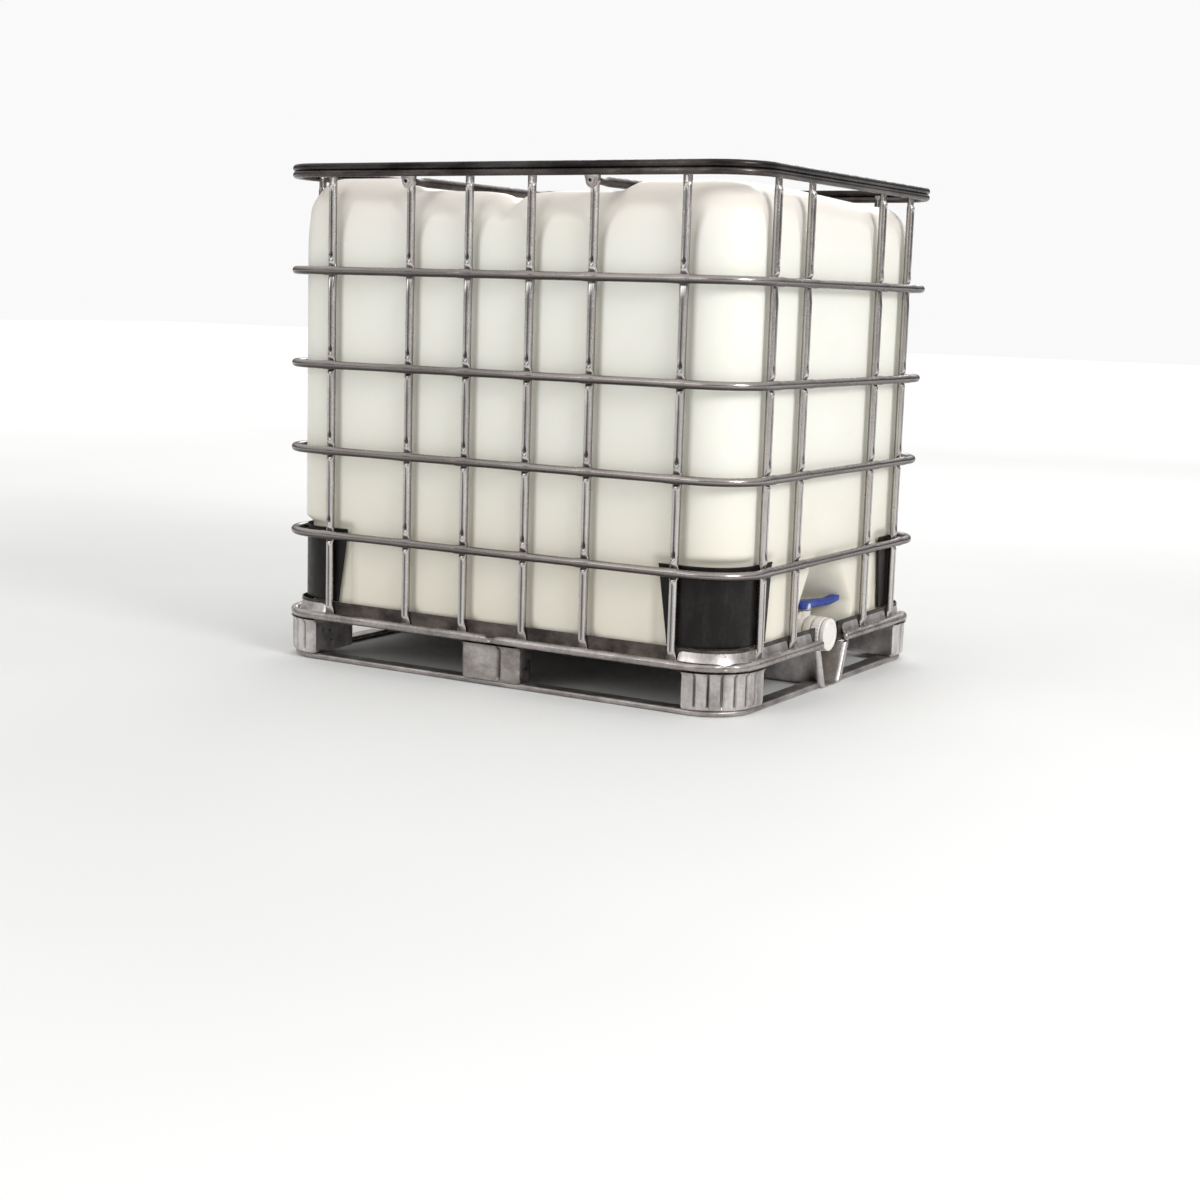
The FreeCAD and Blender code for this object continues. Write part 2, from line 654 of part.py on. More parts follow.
def make_outlet_cap():
    """The screw cap over the outlet spigot, and its gasket."""
    start, end = OUTLET_CAP_X
    inside = end - OUTLET_CAP_FACE
    cap = along_valve(OUTLET_CAP_R, start, end)
    save(cap.cut(along_valve(OUTLET_R + BODY_GAP, start - OVER, inside)), "outlet_cap")
    gasket = along_valve(OUTLET_R - GASKET_INSET, SPIGOT_END_X + BODY_GAP, inside - BODY_GAP)
    save(gasket.cut(along_valve(BORE_R + 1, start, end)), "outlet_cap_gasket")


def main():
    """Build every piece."""
    os.makedirs("parts", exist_ok=True)
    make_cage()
    make_bars()
    make_pallet()
    make_guards()
    make_bottle()
    make_filler_cap()
    make_valve_body()
    make_seats()
    make_ball_and_stem()
    make_lever()
    make_union_nut()
    make_outlet_cap()


main()
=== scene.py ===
"""Looks for the caged bulk container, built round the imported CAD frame.

Lengths inside this script are millimetres in the CAD frame, and every mesh is
turned into metres when it is made. +X points to the outlet valve.
"""
import math

import bmesh
import bpy
import numpy as np
from mathutils import Matrix, Vector


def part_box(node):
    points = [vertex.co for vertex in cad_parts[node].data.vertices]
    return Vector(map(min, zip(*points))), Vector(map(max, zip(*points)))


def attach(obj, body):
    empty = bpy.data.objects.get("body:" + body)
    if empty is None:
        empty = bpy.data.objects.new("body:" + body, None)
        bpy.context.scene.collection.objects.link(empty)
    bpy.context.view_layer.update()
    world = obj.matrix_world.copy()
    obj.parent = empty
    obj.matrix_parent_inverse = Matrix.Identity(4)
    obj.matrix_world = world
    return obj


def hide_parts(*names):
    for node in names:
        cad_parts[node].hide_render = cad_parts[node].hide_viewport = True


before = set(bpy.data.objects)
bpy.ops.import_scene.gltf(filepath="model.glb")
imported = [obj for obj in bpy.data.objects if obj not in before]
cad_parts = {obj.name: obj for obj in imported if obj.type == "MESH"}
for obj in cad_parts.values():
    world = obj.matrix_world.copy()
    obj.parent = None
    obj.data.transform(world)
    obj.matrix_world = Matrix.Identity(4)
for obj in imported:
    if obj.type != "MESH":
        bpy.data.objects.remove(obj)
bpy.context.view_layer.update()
MM = 1000.0
ROOT = "container"


def node_box(node):
    """Lowest and highest corner of a CAD node, in millimetres."""
    low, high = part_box(node)
    return np.array(low) * MM, np.array(high) * MM


# ---------------------------------------------------------------- sizes from the frame
TOP_LOW, TOP_HIGH = node_box("cage_top_frame")
HALF_X, HALF_Y = TOP_HIGH[0], TOP_HIGH[1]
CORNER_R = 115.0
RING_BOXES = [node_box("cage_ring_%d" % number) for number in (1, 2, 3, 4)]
RING_Z = [(low[2] + high[2]) / 2 for low, high in RING_BOXES]
TUBE_R = (RING_BOXES[0][1][2] - RING_BOXES[0][0][2]) / 2
RIM_LOW, RIM_HIGH = node_box("pallet_rim_tube")
RIM_R = (RIM_HIGH[2] - RIM_LOW[2]) / 2
RIM_Z = RIM_LOW[2] + RIM_R
TRAY_LOW, TRAY_HIGH = node_box("pallet_tray")
SKID_HIGH = node_box("skid_frame")[1]
BOTTLE_HIGH = node_box("bottle")[1]
FACES = {"right": 6, "left": 6, "front": 4, "rear": 4}
CORNERS = ((1, -1), (1, 1), (-1, 1), (-1, -1))
STRAIGHT = 0.999  # a path faces along X or Y where that part of its outward direction is above this


# ---------------------------------------------------------------- small maths
def smooth(low, high, value):
    """0 below low, 1 above high, and an S curve between."""
    t = np.clip((np.asarray(value, float) - low) / (high - low), 0.0, 1.0)
    return t * t * (3.0 - 2.0 * t)


def hump(value, centre, width):
    """A bell of height 1."""
    return np.exp(-(((np.asarray(value, float) - centre) / width) ** 2))


def stations(start, end, coarse, fine, spots, reach):
    """Values from start to end, fine near each spot and coarse elsewhere."""
    values = [start]
    while values[-1] < end - 1e-6:
        here = values[-1]
        near = any(abs(here - spot) < reach for spot in spots)
        values.append(min(end, here + (fine if near else coarse)))
    if len(values) > 2 and values[-1] - values[-2] < 0.4 * fine:
        values.pop(-2)
    return np.array(values)


def full_turn(count):
    """Evenly spaced angles all the way round."""
    return np.linspace(0, 2 * math.pi, count, endpoint=False)


def level(x, y, z):
    """A row of points at one height."""
    return np.stack([x, y, np.full(len(x), z)], axis=1)


def distances(points):
    """Distance along a run of points, from its first."""
    steps = np.linalg.norm(np.diff(np.array(points, float)[:, :2], axis=0), axis=1)
    return np.concatenate([[0.0], np.cumsum(steps)])


def quarter(outer_x, outer_y, radius, count):
    """A rounded corner from its +Y side to its +X side: (x, y, out_x, out_y) rows."""
    ways = [(math.cos(angle), math.sin(angle)) for angle in np.linspace(math.pi / 2, 0, count)]
    return [(outer_x - radius + radius * x, outer_y - radius + radius * y, x, y) for x, y in ways]


# ---------------------------------------------------------------- meshes
def add_object(name, data):
    """A new object in the scene."""
    obj = bpy.data.objects.new(name, data)
    bpy.context.scene.collection.objects.link(obj)
    return obj


def make_object(name, verts, faces, material, uvs=None):
    """A mesh object in metres from points in millimetres."""
    mesh = bpy.data.meshes.new(name)
    mesh.from_pydata([tuple(p) for p in np.asarray(verts, float) / MM], [], faces)
    mesh.validate()
    if uvs is not None and len(uvs) == len(mesh.loops):
        layer = mesh.uv_layers.new(name="surface")
        layer.data.foreach_set("uv", np.asarray(uvs, np.float32).ravel())
    mesh.polygons.foreach_set("use_smooth", [True] * len(mesh.polygons))
    mesh.materials.append(material)
    return add_object(name, mesh)


def grid_object(name, points, material, close_u=False, close_v=False,
                cap_start=False, cap_end=False, flip=False):
    """A quad grid from points[u, v], with distances along the surface as its UV."""
    count_u, count_v = points.shape[:2]
    step_u = np.linalg.norm(np.diff(points, axis=0), axis=2).mean(axis=1)
    step_v = np.linalg.norm(np.diff(points, axis=1), axis=2).mean(axis=0)
    along_u = np.concatenate([[0.0], np.cumsum(step_u)]) / MM
    along_v = np.concatenate([[0.0], np.cumsum(step_v)]) / MM
    wrap_u = np.linalg.norm(points[0] - points[-1], axis=1).mean() / MM
    wrap_v = np.linalg.norm(points[:, 0] - points[:, -1], axis=1).mean() / MM
    along_u = np.append(along_u, along_u[-1] + wrap_u)
    along_v = np.append(along_v, along_v[-1] + wrap_v)
    faces, uvs = [], []
    for u in range(count_u if close_u else count_u - 1):
        next_u = (u + 1) % count_u
        for v in range(count_v if close_v else count_v - 1):
            next_v = (v + 1) % count_v
            corners = [(u, v, u, v), (next_u, v, u + 1, v), (next_u, next_v, u + 1, v + 1),
                       (u, next_v, u, v + 1)]
            if flip:
                corners.reverse()
            faces.append(tuple(a * count_v + b for a, b, _, _ in corners))
            uvs.extend((along_u[c], along_v[d]) for _, _, c, d in corners)
    for wanted, row, forward in ((cap_start, 0, True), (cap_end, count_u - 1, False)):
        if wanted:
            loop = [row * count_v + v for v in range(count_v)]
            if forward == flip:
                loop.reverse()
            faces.append(tuple(loop))
            uvs.extend((0.0, along_v[v % count_v]) for v in loop)
    return make_object(name, points.reshape(-1, 3), faces, material, uvs)


def paint(obj, name, values):
    """Store one number per point for a material to read; points past the end get 0."""
    layer = obj.data.attributes.new(name, "FLOAT", "POINT")
    padded = np.zeros(len(obj.data.vertices), np.float32)
    padded[:len(values)] = values
    layer.data.foreach_set("value", padded)


def finish(obj, bevel=0.0, segments=2, thickness=0.0, subdivide=0, angle=35.0):
    """Modifiers that are applied at once."""
    if thickness:
        solid = obj.modifiers.new("sheet", "SOLIDIFY")
        solid.thickness = thickness / MM
        solid.offset = 0.0
    if bevel:
        edge = obj.modifiers.new("edge", "BEVEL")
        edge.width = bevel / MM
        edge.segments = segments
        edge.limit_method = "ANGLE"
        edge.angle_limit = math.radians(angle)
        edge.harden_normals = False
    if subdivide:
        subsurf = obj.modifiers.new("smooth", "SUBSURF")
        subsurf.levels = subdivide
        subsurf.render_levels = subdivide
    graph = bpy.context.evaluated_depsgraph_get()
    baked = bpy.data.meshes.new_from_object(obj.evaluated_get(graph))
    old = obj.data
    obj.modifiers.clear()
    obj.data = baked
    bpy.data.meshes.remove(old)
    baked.name = obj.name
    return obj


def sharpen(obj, angle=40.0):
    """Smooth shading that breaks at edges sharper than the angle."""
    mesh = obj.data
    work = bmesh.new()
    work.from_mesh(mesh)
    limit = math.radians(angle)
    for edge in work.edges:
        edge.smooth = len(edge.link_faces) == 2 and edge.calc_face_angle(0.0) < limit
    work.to_mesh(mesh)
    work.free()
    return obj


def merge(name, objects):
    """One object from several, keeping their materials."""
    work = bmesh.new()
    materials = []
    for obj in objects:
        start = len(work.faces)
        work.from_mesh(obj.data)
        work.faces.ensure_lookup_table()
        slots = []
        for material in obj.data.materials:
            if material not in materials:
                materials.append(material)
            slots.append(materials.index(material))
        for face in work.faces[start:]:
            face.material_index = slots[face.material_index]
    mesh = bpy.data.meshes.new(name)
    work.to_mesh(mesh)
    work.free()
    for material in materials:
        mesh.materials.append(material)
    for obj in objects:
        old = obj.data
        bpy.data.objects.remove(obj)
        bpy.data.meshes.remove(old)
    return add_object(name, mesh)


def lathe(name, profile, material, axis="z", origin=(0, 0, 0), segments=64, radial=None,
          close=False):
    """A profile of (radius, height) turned about an axis; radial(angle, r, h) may change r."""
    angles = full_turn(segments)
    points = np.zeros((len(profile), segments, 3))
    for row, (radius, height) in enumerate(profile):
        radii = np.full(segments, float(radius))
        if radial is not None:
            radii = radial(angles, radii, height)
        turned = level(np.cos(angles) * radii, np.sin(angles) * radii, height)
        points[row] = turned if axis == "z" else np.roll(turned, 1, axis=1)
    points += np.array(origin, float)
    return grid_object(name, points, material, close_u=close, close_v=True)


def keep(obj, node_names, body=ROOT):
    """Attach a finished piece to the body it rides on and hide the CAD parts it stands for."""
    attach(obj, body)
    if node_names:
        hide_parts(*node_names)
    return obj


# ---------------------------------------------------------------- materials
def new_material(name, color, roughness, metallic=0.0):
    """A Principled material, with its tree, shader and object coordinates."""
    material = bpy.data.materials.new(name)
    material.use_nodes = True
    tree = material.node_tree
    shader = tree.nodes["Principled BSDF"]
    shader.inputs["Base Color"].default_value = (*color, 1.0)
    shader.inputs["Roughness"].default_value = roughness
    shader.inputs["Metallic"].default_value = metallic
    coords = tree.nodes.new("ShaderNodeTexCoord")
    return material, tree, shader, coords


def add_node(tree, kind, inputs, **settings):
    """A node with its settings made and its inputs fed."""
    node = tree.nodes.new("ShaderNode" + kind)
    for name, value in settings.items():
        setattr(node, name, value)
    for place, value in inputs.items():
        feed(tree, node.inputs[place], value)
    return node


def feed(tree, socket, value):
    """Give a socket a link, a number, a vector or a colour."""
    if isinstance(value, bpy.types.NodeSocket):
        tree.links.new(value, socket)
    elif socket.type == "RGBA":
        socket.default_value = (*value, 1.0)
    else:
        socket.default_value = value


def noise(tree, vector, scale, detail=4.0, roughness=0.55, stretch=None):
    """A noise texture's value, on coordinates that may be stretched."""
    if stretch is not None:
        vector = add_node(tree, "Mapping", {"Scale": stretch, "Vector": vector}).outputs["Vector"]
    return add_node(tree, "TexNoise", {"Scale": scale, "Detail": detail, "Roughness": roughness,
                                       "Vector": vector}).outputs["Fac"]


def ramp(tree, value, *stops):
    """A colour ramp; each stop is (place, colour)."""
    node = add_node(tree, "ValToRGB", {"Fac": value})
    elements = node.color_ramp.elements
    while len(elements) < len(stops):
        elements.new(0.5)
    for element, (place, color) in zip(elements, stops):
        element.position = place
        element.color = (*color, 1.0)
    return node.outputs["Color"]


def grey_ramp(tree, value, low, high, at_low=0.0, at_high=1.0):
    """A value mapped from one range to another."""
    return add_node(tree, "MapRange", {"From Min": low, "From Max": high, "To Min": at_low,
                                       "To Max": at_high, "Value": value}).outputs["Result"]


def combine(tree, operation, *values):
    """The result of a Math node."""
    return add_node(tree, "Math", dict(enumerate(values)), operation=operation).outputs[0]


def mix(tree, factor, first, second, blend="MIX"):
    """Mix two colours; each may be a socket or a plain colour."""
    return add_node(tree, "Mix", {0: factor, 6: first, 7: second}, data_type="RGBA",
                    blend_type=blend).outputs[2]


def bump(tree, shader, height, strength, distance):
    """Bump from a height, in metres."""
    node = add_node(tree, "Bump", {"Strength": strength, "Distance": distance, "Height": height})
    feed(tree, shader.inputs["Normal"], node.outputs["Normal"])


def painted(tree, name):
    """A number stored on the points by paint()."""
    return add_node(tree, "Attribute", {}, attribute_name=name).outputs["Fac"]


def height_of(tree, vector):
    """The Z part of a vector."""
    return add_node(tree, "SeparateXYZ", {"Vector": vector}).outputs["Z"]


def vary_roughness(tree, shader, vector, scale, detail, grain, low, high):
    """Roughness that drifts between two values with a noise."""
    drift = grey_ramp(tree, noise(tree, vector, scale, detail, grain), 0.3, 0.7, low, high)
    feed(tree, shader.inputs["Roughness"], drift)


def grey_cells(tree, place, scale):
    """Small cells, each of one grey."""
    cells = add_node(tree, "TexVoronoi", {"Scale": scale, "Vector": place})
    return add_node(tree, "RGBToBW", {"Color": cells.outputs["Color"]}).outputs["Val"]


def galvanised(name, dark, light, roughness, spangle=0.15, streak=(1, 1, 1), grime_and_painted_shade=0.35):
    """Zinc-coated steel: spangle, long streaks, dull patches and fine pitting."""
    material, tree, shader, coords = new_material(name, light, roughness, 1.0)
    place = coords.outputs["Object"]
    cloudy = noise(tree, place, 26.0, 5.0, 0.6, streak)
    base = ramp(tree, cloudy, (0.34, dark), (0.66, light))
    flakes = mix(tree, spangle, base, grey_cells(tree, place, 170.0), "SOFT_LIGHT")
    # Real dirt: random dark patches multiplied over the zinc.
    dirt_and_painted_shade = ramp(tree, noise(tree, place, 9.0, 6.0, 0.65),
                (0.42, (1, 1, 1)), (0.72, (0.62, 0.58, 0.55)))
    worn = mix(tree, grime_and_painted_shade, flakes, dirt_and_painted_shade, "MULTIPLY")
    # Painted shade from the per-point attribute, towards near black: foot flutes, screw sockets and
    # under washer rims.
    with_painted_shade = mix(tree, painted(tree, "grime_and_painted_shade"), worn, (0.06, 0.05, 0.046))
    feed(tree, shader.inputs["Base Color"], with_painted_shade)
    vary_roughness(tree, shader, place, 60.0, 4.0, 0.6, roughness - 0.09, roughness + 0.14)
    bump(tree, shader, noise(tree, place, 420.0, 3.0, 0.6), 0.10, 0.0004)
    return material


def cage_steel(name, dark, light):
    """Rolled galvanised tube: warm grey, draw marks along it, and painted shade in its channels and
    on its underside.
    """
    material, tree, shader, coords = new_material(name, light, 0.30, 1.0)
    surface = coords.outputs["UV"]
    place = coords.outputs["Object"]
    draw = noise(tree, surface, 1.0, 2.0, 0.5, (1.5, 90.0, 1.0))
    base = ramp(tree, draw, (0.34, dark), (0.66, light))
    patch = ramp(tree, noise(tree, place, 9.0, 3.0, 0.5),
                 (0.36, (0.76, 0.725, 0.71)), (0.64, (1, 1, 1)))
    tinted = mix(tree, 0.6, base, patch, "MULTIPLY")
    spangled = mix(tree, 0.06, tinted, grey_cells(tree, place, 240.0), "SOFT_LIGHT")
    # Painted shade from the per-point attribute: post channels, pits and flanks, and the rings'
    # undersides.
    with_painted_shade = mix(tree, painted(tree, "grime_and_painted_shade"), spangled, (0.022, 0.018, 0.016))
    feed(tree, shader.inputs["Base Color"], with_painted_shade)
    vary_roughness(tree, shader, place, 40.0, 3.0, 0.5, 0.23, 0.29)
    bump(tree, shader, noise(tree, surface, 1.0, 2.0, 0.5, (8.0, 250.0, 1.0)), 0.03, 0.0003)
    return material


def bottle_plastic():
    """Natural polyethylene: ivory, pinker above the fill line, and painted olive shade in the
    grooves.
    """
    material, tree, shader, coords = new_material("bottle_polyethylene", (0.87, 0.86, 0.76), 0.34)
    place = coords.outputs["Object"]
    wander = grey_ramp(tree, noise(tree, place, 3.0, 2.0, 0.5), 0.3, 0.7, -0.012, 0.012)
    height = combine(tree, "ADD", height_of(tree, place), wander)
    band = ramp(tree, grey_ramp(tree, height, 0.09, 1.09),
                (0.0, (0.79, 0.75, 0.64)), (0.22, (0.815, 0.785, 0.69)),
                (0.45, (0.855, 0.845, 0.775)), (0.845, (0.87, 0.865, 0.805)),
                (0.91, (0.880, 0.845, 0.785)), (1.0, (0.850, 0.775, 0.71)))
    cloudy = ramp(tree, noise(tree, place, 5.0, 3.0, 0.5),
                  (0.3, (0.955, 0.955, 0.93)), (0.7, (1, 1, 1)))
    color = mix(tree, 0.8, band, cloudy, "MULTIPLY")
    # Painted shade: olive beside the posts, where the grooves fall into shade.
    shaded = mix(tree, painted(tree, "groove"), color, (0.62, 0.57, 0.42))
    feed(tree, shader.inputs["Base Color"], shaded)
    shader.inputs["Subsurface Weight"].default_value = 0.25
    shader.inputs["Subsurface Radius"].default_value = (0.022, 0.018, 0.010)
    shader.inputs["Subsurface Scale"].default_value = 0.5
    shader.inputs["IOR"].default_value = 1.5
    vary_roughness(tree, shader, place, 30.0, 3.0, 0.5, 0.29, 0.42)
    wavy = noise(tree, place, 16.0, 2.0, 0.5, (1.0, 1.0, 0.25))
    fine = noise(tree, place, 700.0, 2.0, 0.5)
    bump(tree, shader, combine(tree, "MULTIPLY_ADD", fine, 0.05, wavy), 0.22, 0.0012)
    return material


def moulded(name, color, roughness, scuff=None, amount=0.0, shine=0.5):
    """Moulded plastic: fine grain, slight colour drift and optional pale scuffs."""
    material, tree, shader, coords = new_material(name, color, roughness)
    shader.inputs["Specular IOR Level"].default_value = shine
    place = coords.outputs["Object"]
    darker = tuple(c * 0.94 for c in color)
    lighter = tuple(min(1.0, c * 1.06) for c in color)
    base = ramp(tree, noise(tree, place, 18.0, 4.0, 0.6), (0.35, darker), (0.65, lighter))
    if scuff is not None:
        streaks = noise(tree, place, 34.0, 6.0, 0.7, (1.0, 1.0, 0.35))
        scratches = noise(tree, place, 120.0, 5.0, 0.75)
        both = mix(tree, 0.5, streaks, scratches, "MULTIPLY")
        base = mix(tree, grey_ramp(tree, both, 0.34, 0.52, 0.0, amount), base, scuff)
    # Painted shade from the per-point attribute, towards a much darker copy of the colour.
    base = mix(tree, painted(tree, "grime_and_painted_shade"), base, tuple(c * 0.22 for c in color))
    feed(tree, shader.inputs["Base Color"], base)
    vary_roughness(tree, shader, place, 70.0, 3.0, 0.6, roughness - 0.07, roughness + 0.1)
    bump(tree, shader, noise(tree, place, 500.0, 3.0, 0.6), 0.25, 0.0003)
    return material


# Rings and posts are one tube steel in a shaded and a lit copy: the rings' darker colour is painted
# shade for the dark surroundings they mirror.
CAGE = cage_steel("cage_tube", (0.20, 0.182, 0.174), (0.42, 0.388, 0.372))
POST = cage_steel("post_tube", (0.47, 0.445, 0.435), (0.72, 0.695, 0.68))
FRAME_DARK = galvanised("top_frame_steel", (0.020, 0.017, 0.017), (0.080, 0.072, 0.070),
                        0.30, 0.08, (0.3, 0.3, 1), 0.3)
FRAME_LOW = galvanised("frame_tube_steel", (0.040, 0.034, 0.032), (0.135, 0.120, 0.115),
                       0.30, 0.08, (0.3, 0.3, 1), 0.3)
BAR = galvanised("bar_steel", (0.050, 0.042, 0.040), (0.15, 0.132, 0.126),
                 0.32, 0.08, (0.4, 0.4, 1), 0.3)
ZINC = galvanised("bright_zinc", (0.44, 0.41, 0.40), (0.80, 0.77, 0.755),
                  0.33, 0.20, (1, 1, 0.4), 0.35)
RIM = galvanised("rim_zinc", (0.26, 0.235, 0.225), (0.52, 0.485, 0.47),
                 0.30, 0.15, (0.5, 0.5, 1), 0.45)
# Tray pan: dark partly as stained zinc and partly as painted shade, since its wall sits in shadow
# and mirrors a dark ground.
TRAY = galvanised("tray_steel", (0.050, 0.042, 0.038), (0.150, 0.130, 0.120),
                  0.46, 0.12, (0.6, 0.6, 1), 0.4)
SKID = galvanised("skid_steel", (0.30, 0.275, 0.265), (0.56, 0.525, 0.51),
                  0.42, 0.12, (0.6, 0.6, 1), 0.35)
BOLT = galvanised("screw_steel", (0.28, 0.26, 0.255), (0.60, 0.58, 0.57),
                  0.24, 0.08, (1, 1, 1), 0.15)
BOTTLE = bottle_plastic()
BLACK = moulded("guard_plastic", (0.007, 0.0055, 0.0052), 0.36, (0.045, 0.040, 0.038), 0.35, 0.22)
LID = moulded("lid_plastic", (0.012, 0.012, 0.013), 0.40, (0.08, 0.08, 0.08), 0.2, 0.35)
VENT = moulded("vent_plastic", (0.74, 0.72, 0.68), 0.42)
WHITE = moulded("valve_plastic", (0.74, 0.69, 0.61), 0.40, (0.36, 0.30, 0.23), 0.30)
CAP_WHITE = moulded("cap_plastic", (0.84, 0.81, 0.77), 0.34, (0.45, 0.39, 0.32), 0.22)
BLUE = moulded("lever_plastic", (0.010, 0.036, 0.27), 0.30, (0.10, 0.16, 0.42), 0.25)
HUB_BLUE = moulded("hub_plastic", (0.55, 0.62, 0.78), 0.40)
RUBBER = moulded("seal_rubber", (0.020, 0.020, 0.020), 0.62)
BALL = moulded("ball_plastic", (0.74, 0.73, 0.70), 0.28)
SEAT = moulded("seat_plastic", (0.88, 0.88, 0.85), 0.34)


# ---------------------------------------------------------------- paths round the container
def round_path(half_x, half_y, radius, coarse=14.0, fine=4.0, spots_x=(), spots_y=(),
               reach=24.0, bends=14):
    """Rows of (x, y, out_x, out_y) round a rounded rectangle, from the middle of +X. Spots
    are where the path is sampled finely."""
    inner_x, inner_y = half_x - radius, half_y - radius
    along_x = stations(-inner_x, inner_x, coarse, fine, spots_x, reach)
    along_y = stations(-inner_y, inner_y, coarse, fine, spots_y, reach)
    middle = int(np.argmin(np.abs(along_y)))
    turns = np.linspace(0, math.pi / 2, bends + 1)[1:-1]

    def bend(centre_x, centre_y, start):
        ways = [(math.cos(start + turn), math.sin(start + turn)) for turn in turns]
        return [(centre_x + radius * x, centre_y + radius * y, x, y) for x, y in ways]

    rows = [(half_x, y, 1, 0) for y in along_y[middle:]] + bend(inner_x, inner_y, 0)
    rows += [(x, half_y, 0, 1) for x in along_x[::-1]] + bend(-inner_x, inner_y, math.pi / 2)
    rows += [(-half_x, y, -1, 0) for y in along_y[::-1]] + bend(-inner_x, -inner_y, math.pi)
    rows += [(x, -half_y, 0, -1) for x in along_x] + bend(inner_x, -inner_y, 1.5 * math.pi)
    return np.array(rows + [(half_x, y, 1, 0) for y in along_y[:middle]])


def swept(path, section):
    """A section carried along a path; section(index) gives rows of (outward, up)."""
    rings = []
    for index, (x, y, out_x, out_y) in enumerate(path):
        out, up = section(index).T
        rings.append(np.stack([x + out * out_x, y + out * out_y, up], axis=1))
    return np.array(rings)


def sweep(name, path, section, material, closed=True):
    """A tube or strip round a path, capped where the path is open."""
    return grid_object(name, swept(path, section), material, close_u=closed, close_v=True,
                       cap_start=not closed, cap_end=not closed, flip=True)


POSTS = {face: [sum(node_box("%s_post_%d" % (face, number))) / 2 for number in range(1, count + 1)]
         for face, count in FACES.items()}
POST_DEPTH_X = node_box("front_post_1")[0][0] + TUBE_R
POST_DEPTH_Y = node_box("left_post_1")[0][1] + TUBE_R
POST_X = [place[0] for place in POSTS["right"]]
POST_Y = [place[1] for place in POSTS["front"]]


def to_nearest(values, spots):
    """Distance from each value to the nearest spot."""
    return np.abs(np.asarray(values)[:, None] - np.asarray(spots)[None, :]).min(axis=1)


# ---------------------------------------------------------------- cage
def crossing_weights(path, reach):
    """How much the ring is pressed flat at each point, from 0 to 1 at a post."""
    weights = np.zeros(len(path))
    for facing, along, spots in ((3, 0, POST_X), (2, 1, POST_Y)):
        side = np.abs(path[:, facing]) > STRAIGHT
        away = to_nearest(path[side, along], spots)
        weights[side] = 1 - smooth(reach * 0.4, reach, away)
    return weights


def underside(angles):
    """Painted shade under a level tube, standing in for the dark ground it mirrors, from 0 to 1, at
    angles measured from outward to up.
    """
    return 0.82 * smooth(0.05, 0.70, -np.sin(angles - 0.12))


def make_ring(number, z):
    """One ring, pressed slightly flat and taller where it is welded to each post."""
    path = round_path(HALF_X - TUBE_R, HALF_Y - TUBE_R, CORNER_R - TUBE_R, 26.0, 5.0, POST_X,
                      POST_Y)
    weights = crossing_weights(path, 22.0)
    angles = full_turn(24)

    def section(index):
        pressed = weights[index]
        out = np.cos(angles) * (TUBE_R - np.where(np.cos(angles) > 0, 0.9, 0.4) * pressed)
        return np.stack([out, z + np.sin(angles) * (TUBE_R + 1.1 * pressed)], axis=1)

    name = "cage_ring_%d" % number
    obj = sweep(name + "_tube", path, section, CAGE)
    # Painted shade on the ring's underside.
    paint(obj, "grime_and_painted_shade", np.tile(underside(angles), len(path)))
    keep(obj, [name])


def make_top_frame():
    """Two stacked tubes with a shallow groove between them."""
    radius = 7.8
    high_z, low_z = TOP_HIGH[2] - radius, TOP_LOW[2] + radius
    path = round_path(HALF_X - radius, HALF_Y - radius, CORNER_R - radius, 40.0, 8.0, POST_X,
                      POST_Y)
    meet = math.acos(min(1.0, (high_z - low_z) / 2 / radius))
    high_angles = np.linspace(-math.pi / 2 + meet, 1.5 * math.pi - meet, 18)
    low_angles = np.linspace(math.pi / 2 + meet, 2.5 * math.pi - meet, 18)[1:-1]
    outline = np.array([(radius * math.cos(a), centre + radius * math.sin(a))
                        for centre, angles in ((high_z, high_angles), (low_z, low_angles))
                        for a in angles])
    obj = sweep("top_frame_tubes", path, lambda index: outline, FRAME_DARK)
    obj.data.materials.append(FRAME_LOW)
    split = (high_z + low_z) / 2 / MM
    for polygon in obj.data.polygons:
        polygon.material_index = 1 if polygon.center.z < split else 0
    keep(sharpen(obj, 50), ["cage_top_frame"])


